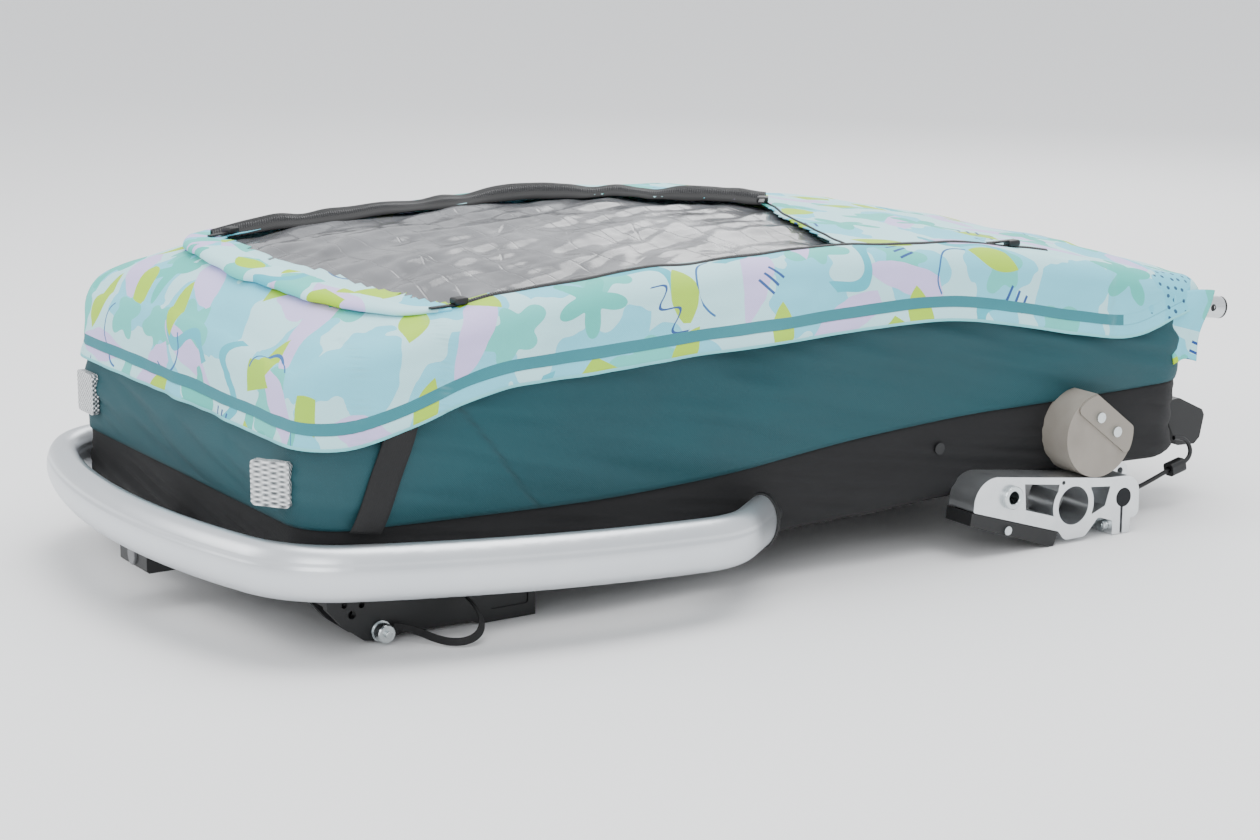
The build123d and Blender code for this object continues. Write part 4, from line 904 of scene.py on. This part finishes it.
# a sky-blue patch with navy dots by the left rear corner
patch_x, patch_y = (cut_x - 0.262) / 0.05, (cut_y - 0.462) / 0.036
patch = patch_x * patch_x + patch_y * patch_y + 5 * (cover_print.noise(cut, 40, 1) - 0.5) < 0.9
hue = cover_print.blend(patch, hue, tint("66C8E0"))
dot = cover_print.node(
    "ShaderNodeTexVoronoi", {"voronoi_dimensions": "2D"},
    {"Vector": cut, "Scale": 95.0, "Randomness": 0.35}, "Distance",
)
hue = cover_print.blend((dot < 0.19) * patch, hue, tint("07456A"))
above = cover_print.node("ShaderNodeAttribute", {"attribute_name": "above_hem"}, {}, "Fac")
sewn = cover_print.node("ShaderNodeAttribute", {"attribute_name": "sewn"}, {}, "Fac")
tape = (above > 0.0125) * (above < 0.0225) * (cut_y < 0.385)
hue = cover_print.blend(tape, hue, tint("1C7580"))
hue = cover_print.blend(above < 0.0026, hue, tint("7FD8DF"))
hue = cover_print.blend(0.25 * sewn, hue, tint("86B4BA"))
shade = cover_print.noise(cut, 5, 3)
hue = cover_print.blend(0.10 * shade, hue, tint("A5D4DC"))
cover_print.feed("Base Color", hue)
cover_print.feed("Roughness", 0.66 + 0.16 * shade)
weave = (3300 * cut_x).wave() * (3300 * cut_y).wave()
crumple = cover_print.noise(cut, 55, 4)
ridge = cover_print.between((above - 0.0175).size(), 0.0045, 0.0058, 1.0, 0.0)
lip = cover_print.between((above - 0.0118).size(), 0.0, 0.0012, 1.0, 0.0)
cover_print.relief(
    0.25 * weave + 1.2 * crumple + 1.6 * ridge - 2.2 * sewn - 1.4 * lip, 0.0003
)

above_hem = []
cover = lay_cloth("cover_cloth", 128, 210, lambda a, b: put_cover(a, b, above_hem))
mark(cover, "above_hem", above_hem[0])
spots = np.array([v.co for v in cover.data.vertices])
# seams: the front corners' bow seam, the side panels' ends and the rear corner's panel
side_seam = np.where(abs(spots[:, 0]) > 0.2, abs(spots[:, 1] + 0.345), 1)
rear_seam = np.where(abs(spots[:, 0]) > 0.19, abs(spots[:, 1] - 0.372), 1)
bow_seam = np.where(abs(spots[:, 0]) > 0.215, abs(spots[:, 1] + 0.42), 1)
near_seam = np.minimum(np.minimum(side_seam, rear_seam), bow_seam)
mark(cover, "sewn", np.clip(1 - near_seam / 0.0035, 0, 1))
middle = centres(cover)
cut_away(cover, inside_window(middle[:, 0], middle[:, 1], -0.004) & (middle[:, 2] > 0.24))
hem_closed(cover, cover_print, 0.0012)
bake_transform(cover)
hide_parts("cover_front", "cover_top")


# Window: soft tinted film between two curved zips, creased from folding, so it is glossy and
# wavy. Its grey is painted lighter where the wide creases rise, a painted sheen of their
# highlights.
film_finish = Finish("tinted_film", tint("6C6D70"), Roughness=0.09, IOR=1.5)
spot = film_finish.place()
crease_and_sheen = film_finish.noise(film_finish.stretch(spot, (9, 20, 9)), 1, 2)
fine_crease = film_finish.node(
    "ShaderNodeTexVoronoi", {"feature": "DISTANCE_TO_EDGE"},
    {"Vector": film_finish.stretch(spot, (8, 30, 8)), "Scale": 1.0}, "Distance",
)
# Painted sheen: the grey turns lighter where the wide creases rise, standing in for their
# highlights.
film_finish.feed("Base Color", film_finish.blend(crease_and_sheen, tint("5A5B5E"), tint("848588")))
film_finish.feed("Roughness", 0.1 + 0.14 * crease_and_sheen)
film_finish.feed("Alpha", film_finish.between(crease_and_sheen, 0.3, 0.7, 0.74, 0.9))
film_finish.relief(
    crease_and_sheen + 0.05 * film_finish.between(fine_crease, 0.0, 0.035, 0.0, 1.0), 0.006, 0.7
)


def put_film(a, b):
    """Lays the film out just under the cover's fair top, with its long soft folds."""
    x, y = a * 0.205 + 0.035, b * 0.285 - 0.113
    fold = 0.0026 * ripple(x * 1.6 + y * 0.6, y * 0.7, 0.13, 44)
    fold += 0.0009 * ripple(x * 2 + y * 0.6, y * 1.2, 0.06, 45)
    z = crown(x, y) - 0.0045 + fold
    return np.stack([x, y, z], 1), np.stack([x, y], 1)


film = lay_cloth("window_film_sheet", 110, 150, put_film)
middle = centres(film)
cut_away(film, ~inside_window(middle[:, 0], middle[:, 1], 0.005))
hem_closed(film, film_finish, 0.0005)
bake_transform(film)
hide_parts("window_film")


def fair(points, step):
    """Plan points made into an even smooth line."""
    rough = np.array(points, float) * MM
    for _ in range(3):
        doubled = [rough[0]]
        for p, q in zip(rough, rough[1:]):
            doubled += [0.75 * p + 0.25 * q, 0.25 * p + 0.75 * q]
        rough = np.array(doubled + [rough[-1]])
    run = np.concatenate([[0], np.cumsum(np.linalg.norm(np.diff(rough, axis=0), axis=1))])
    even = np.linspace(0, run[-1], int(run[-1] / step) + 1)
    return np.stack([np.interp(even, run, rough[:, k]) for k in (0, 1)], 1)


def strip(name, points, profile, finish, thick, step=0.003, wave=0.0, taper=0.0):
    """A strip of tape or cloth along a line on the cover: profile is (offset, height) pairs."""
    line = fair(points, step)
    ahead = np.gradient(line, axis=0)
    ahead /= np.linalg.norm(ahead, axis=1)[:, None]
    outward = np.stack([ahead[:, 1], -ahead[:, 0]], 1)
    rows, columns = len(line), len(profile)

    def put(a, b):
        i = np.rint((b + 1) / 2 * (rows - 1)).astype(int)
        j = np.rint((a + 1) / 2 * (columns - 1)).astype(int)
        offset = np.array([p[0] for p in profile])[j]
        height = np.array([p[1] for p in profile])[j]
        slim = 1 - taper * np.clip(((i + 1) / rows - 0.86) / 0.14, 0, 1)
        offset, height = offset * slim, height * slim
        height = height + wave * ripple(i * step, i * 0.0, 0.09, 71) * np.clip(height / 0.009, 0, 1)
        x = line[i, 0] + outward[i, 0] * offset
        y = line[i, 1] + outward[i, 1] * offset
        z = crown(x, y) + cover_swell(x, y) + height
        return np.stack([x, y, z], 1), np.stack([offset, i * step], 1)

    tape = lay_cloth(name, columns - 1, rows - 1, put)
    hem_closed(tape, finish, thick)
    return tape


# Zips: a far and a near coil zip let the film roll back. Each is a woven black tape, and the far
# one stands up where its cloth is slack. A narrow binding closes the film's rear edge.
zip_finish = Finish("zip_tape", tint("1B1C1F"), Roughness=0.6)
cut = zip_finish.flat()
cut_x, cut_y, _ = zip_finish.split(cut)
teeth_and_painted_sheen = (cut_y.made("PINGPONG", 0.0011) / 0.0011) * (cut_x.size() < 0.0022)
tape_weave = (2400 * cut_x).wave() * (2400 * cut_y).wave()
# Painted highlight and shade: the coil is painted lighter on each tooth's crest and dark in the
# gaps between teeth.
zip_finish.feed(
    "Base Color", zip_finish.blend(teeth_and_painted_sheen, tint("08080A"), tint("222326"))
)
zip_finish.feed("Roughness", 0.62 - 0.25 * teeth_and_painted_sheen)
zip_finish.relief(teeth_and_painted_sheen + 0.1 * tape_weave, 0.0006)

FAR_ZIP = [
    (-176, -352), (-160, -300), (-152, -250), (-150, -190), (-150, -130), (-153, -57),
    (-145, -20), (-128, 20), (-100, 57), (-50, 103), (-8, 155),
]
NEAR_ZIP = [
    (219, -322), (222, -230), (225, -130), (226, -20), (224, 78), (222, 150), (214, 220),
    (206, 285), (204, 330),
]
REAR_EDGE = [(-8, 155), (40, 130), (102, 108), (150, 95), (222, 80)]
RAISED_TAPE = [
    (-0.013, 0.0015), (-0.0125, 0.0085), (-0.0105, 0.0098), (-0.008, 0.0092), (-0.0045, 0.0078),
    (-0.0035, 0.0088), (0.0005, 0.0066), (0.0015, 0.005), (0.005, 0.0022), (0.0095, -0.001),
]
far_zip = strip("far_zip_tape", FAR_ZIP, RAISED_TAPE, zip_finish, 0.0008, wave=0.003)
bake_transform(far_zip)
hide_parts("window_zips")
THIN_TAPE = [
    (-0.0045, 0.0), (-0.0025, 0.0016), (-0.0012, 0.0026), (0.0012, 0.0026), (0.0025, 0.0014),
    (0.0045, 0.0),
]
near_zip = strip("near_zip_tape", NEAR_ZIP, THIN_TAPE, zip_finish, 0.0008)
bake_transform(near_zip)
HALF_TAPE = [(x * 0.5, z) for x, z in THIN_TAPE]
rear_edge = strip("window_rear_binding", REAR_EDGE, HALF_TAPE, zip_finish, 0.0008)
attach(rear_edge, "roof")

# Zip sliders: one black cast slider at each end of both zips, with a flat pull tab on it.
SLIDERS = ((-0.165, -0.338, 0.4), (0.221, -0.312, 0.1), (0.006, 0.142, 0.9), (0.206, 0.286, 0.0))
SLIDER_BODY = ((0.011, 0.013, 0.006), 0, 0.005)
SLIDER_TAB = ((0.0055, 0.024, 0.0018), 0.017, 0.0045)
pulls = []
for x, y, turn in SLIDERS:
    for size, ahead, up in (SLIDER_BODY, SLIDER_TAB):
        drop_selection()
        bpy.ops.mesh.primitive_cube_add(size=1)
        block = bpy.context.object
        block.scale = size
        block.rotation_euler = (0, 0, turn)
        at_x, at_y = x + ahead * math.sin(turn), y - ahead * math.cos(turn)
        spot = np.array([at_x]), np.array([at_y])
        block.location = (at_x, at_y, float(crown(*spot)[0] + cover_swell(*spot)[0]) + up)
        bpy.ops.object.transform_apply(location=True, rotation=True, scale=True)
        bpy.ops.object.modifier_add(type="BEVEL")
        block.modifiers[-1].width = min(size) * 0.3
        block.modifiers[-1].segments = 3
        bpy.ops.object.modifier_apply(modifier=block.modifiers[-1].name)
        pulls.append(block)
drop_selection()
for block in pulls:
    block.select_set(True)
bpy.context.view_layer.objects.active = pulls[0]
bpy.ops.object.join()
pulls = bpy.context.object
pulls.name = "zip_slider_pulls"
bpy.ops.object.shade_smooth_by_angle(angle=math.radians(35))
pulls.data.materials.append(moulded.material)
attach(pulls, "roof")
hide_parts("zip_sliders")

# Window border: a rolled strip of the print in front of the film. It narrows into the near zip.
strip_print, cut, hue = printed("border_polyester")
strip_print.feed("Base Color", hue)
strip_print.relief(strip_print.noise(cut, 90, 4), 0.0004)
BORDER = [
    (-222, -335), (-200, -362), (-150, -390), (-106, -402), (-14, -416), (75, -415), (150, -405),
    (192, -388), (215, -360), (226, -322),
]
BORDER_PROFILE = [
    (-0.034, -0.001), (-0.028, 0.0015), (-0.02, 0.004), (-0.012, 0.0066), (-0.006, 0.0086),
    (-0.002, 0.0098), (0.001, 0.0098), (0.003, 0.0084), (0.0035, 0.0064), (0.002, 0.0048),
    (-0.001, 0.0042), (-0.004, 0.0044),
]
border = strip("window_border", BORDER, BORDER_PROFILE[::-1], strip_print, 0.0008, taper=0.75)
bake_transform(border)

# Tail fold: a printed lap of the cover that hangs slack below its rear corners, behind the
# handle stubs.
def put_tail(a, b):
    """Lays the left lap out, narrower at its foot."""
    t = (1 - b) / 2
    y = 0.4785 + a * (0.026 - 0.011 * t) - 0.008 * t
    z = 0.219 - 0.068 * t - 0.003 * a * a
    x = 0.2505 + 0.0022 * np.sin(3 * a + 4 * t) + 0.002 * np.sin(7 * t) - 0.004 * t
    return np.stack([x, y, z], 1), np.stack([y - 0.2, z + 0.1], 1)


for side_name, way in (("left", 1), ("right", -1)):
    lap = lay_cloth("tail_lap_" + side_name, 24, 30, put_tail)
    if way < 0:
        for v in lap.data.vertices:
            v.co.x = -v.co.x
        lap.data.flip_normals()
    hem_closed(lap, strip_print, 0.0012)
    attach(lap, "roof")

# Corner straps: flat black webbing that ties each front corner of the side cloth down to the tub.
def put_strap(a, b):
    """Lays the left strap out from its seam on the tub up to under the cover's hem."""
    t = (b + 1) / 2
    low = np.array([0.0, -0.419, 0.107])
    high = np.array([0.0, -0.384, 0.192])
    y = low[1] + (high[1] - low[1]) * t + a * 0.0135
    z = low[2] + (high[2] - low[2]) * t - a * 0.0022
    x = 0.2545 + 0.0035 * np.sin(t * 3.1) ** 0.5 + 0.0008 * np.sin(t * 9) - 0.0012 * (a < -0.5)
    return np.stack([x, y, z], 1), np.stack([a * 0.0135, t * 0.09], 1)


for side_name, way in (("left", 1), ("right", -1)):
    strap = lay_cloth("corner_strap_" + side_name, 8, 40, put_strap)
    if way < 0:
        for v in strap.data.vertices:
            v.co.x = -v.co.x
        strap.data.flip_normals()
    hem_closed(strap, webbing, 0.0014)
    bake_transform(strap)
    if way > 0:
        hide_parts("corner_straps")

# Reflectors: clear ribbed prisms with silver backs in slim frames, hung on the front of the side
# cloth and low on its left corner. Their colour is painted glints: near-white and dark grey cells
# over the facets.
prism = Finish("clear_prism", tint("D6DADC"), Metallic=0.55, Roughness=0.14)
spot = prism.place()
spot_x, spot_y, spot_z = prism.split(spot)
cells = (1500 * (spot_x - spot_y)).wave() * (1500 * spot_z).wave()
rows = (720 * spot_z).wave()
# Painted glints: the near-white and dark grey cells stand in for light off the prism facets; the
# same cells also bump it.
prism.feed("Base Color", prism.blend(0.5 + 0.5 * cells, tint("54595C"), tint("FBFDFE")))
prism.relief(cells + rows, 0.0005)
coat(prism, "reflector_clear", "reflector_left", "reflector_right")
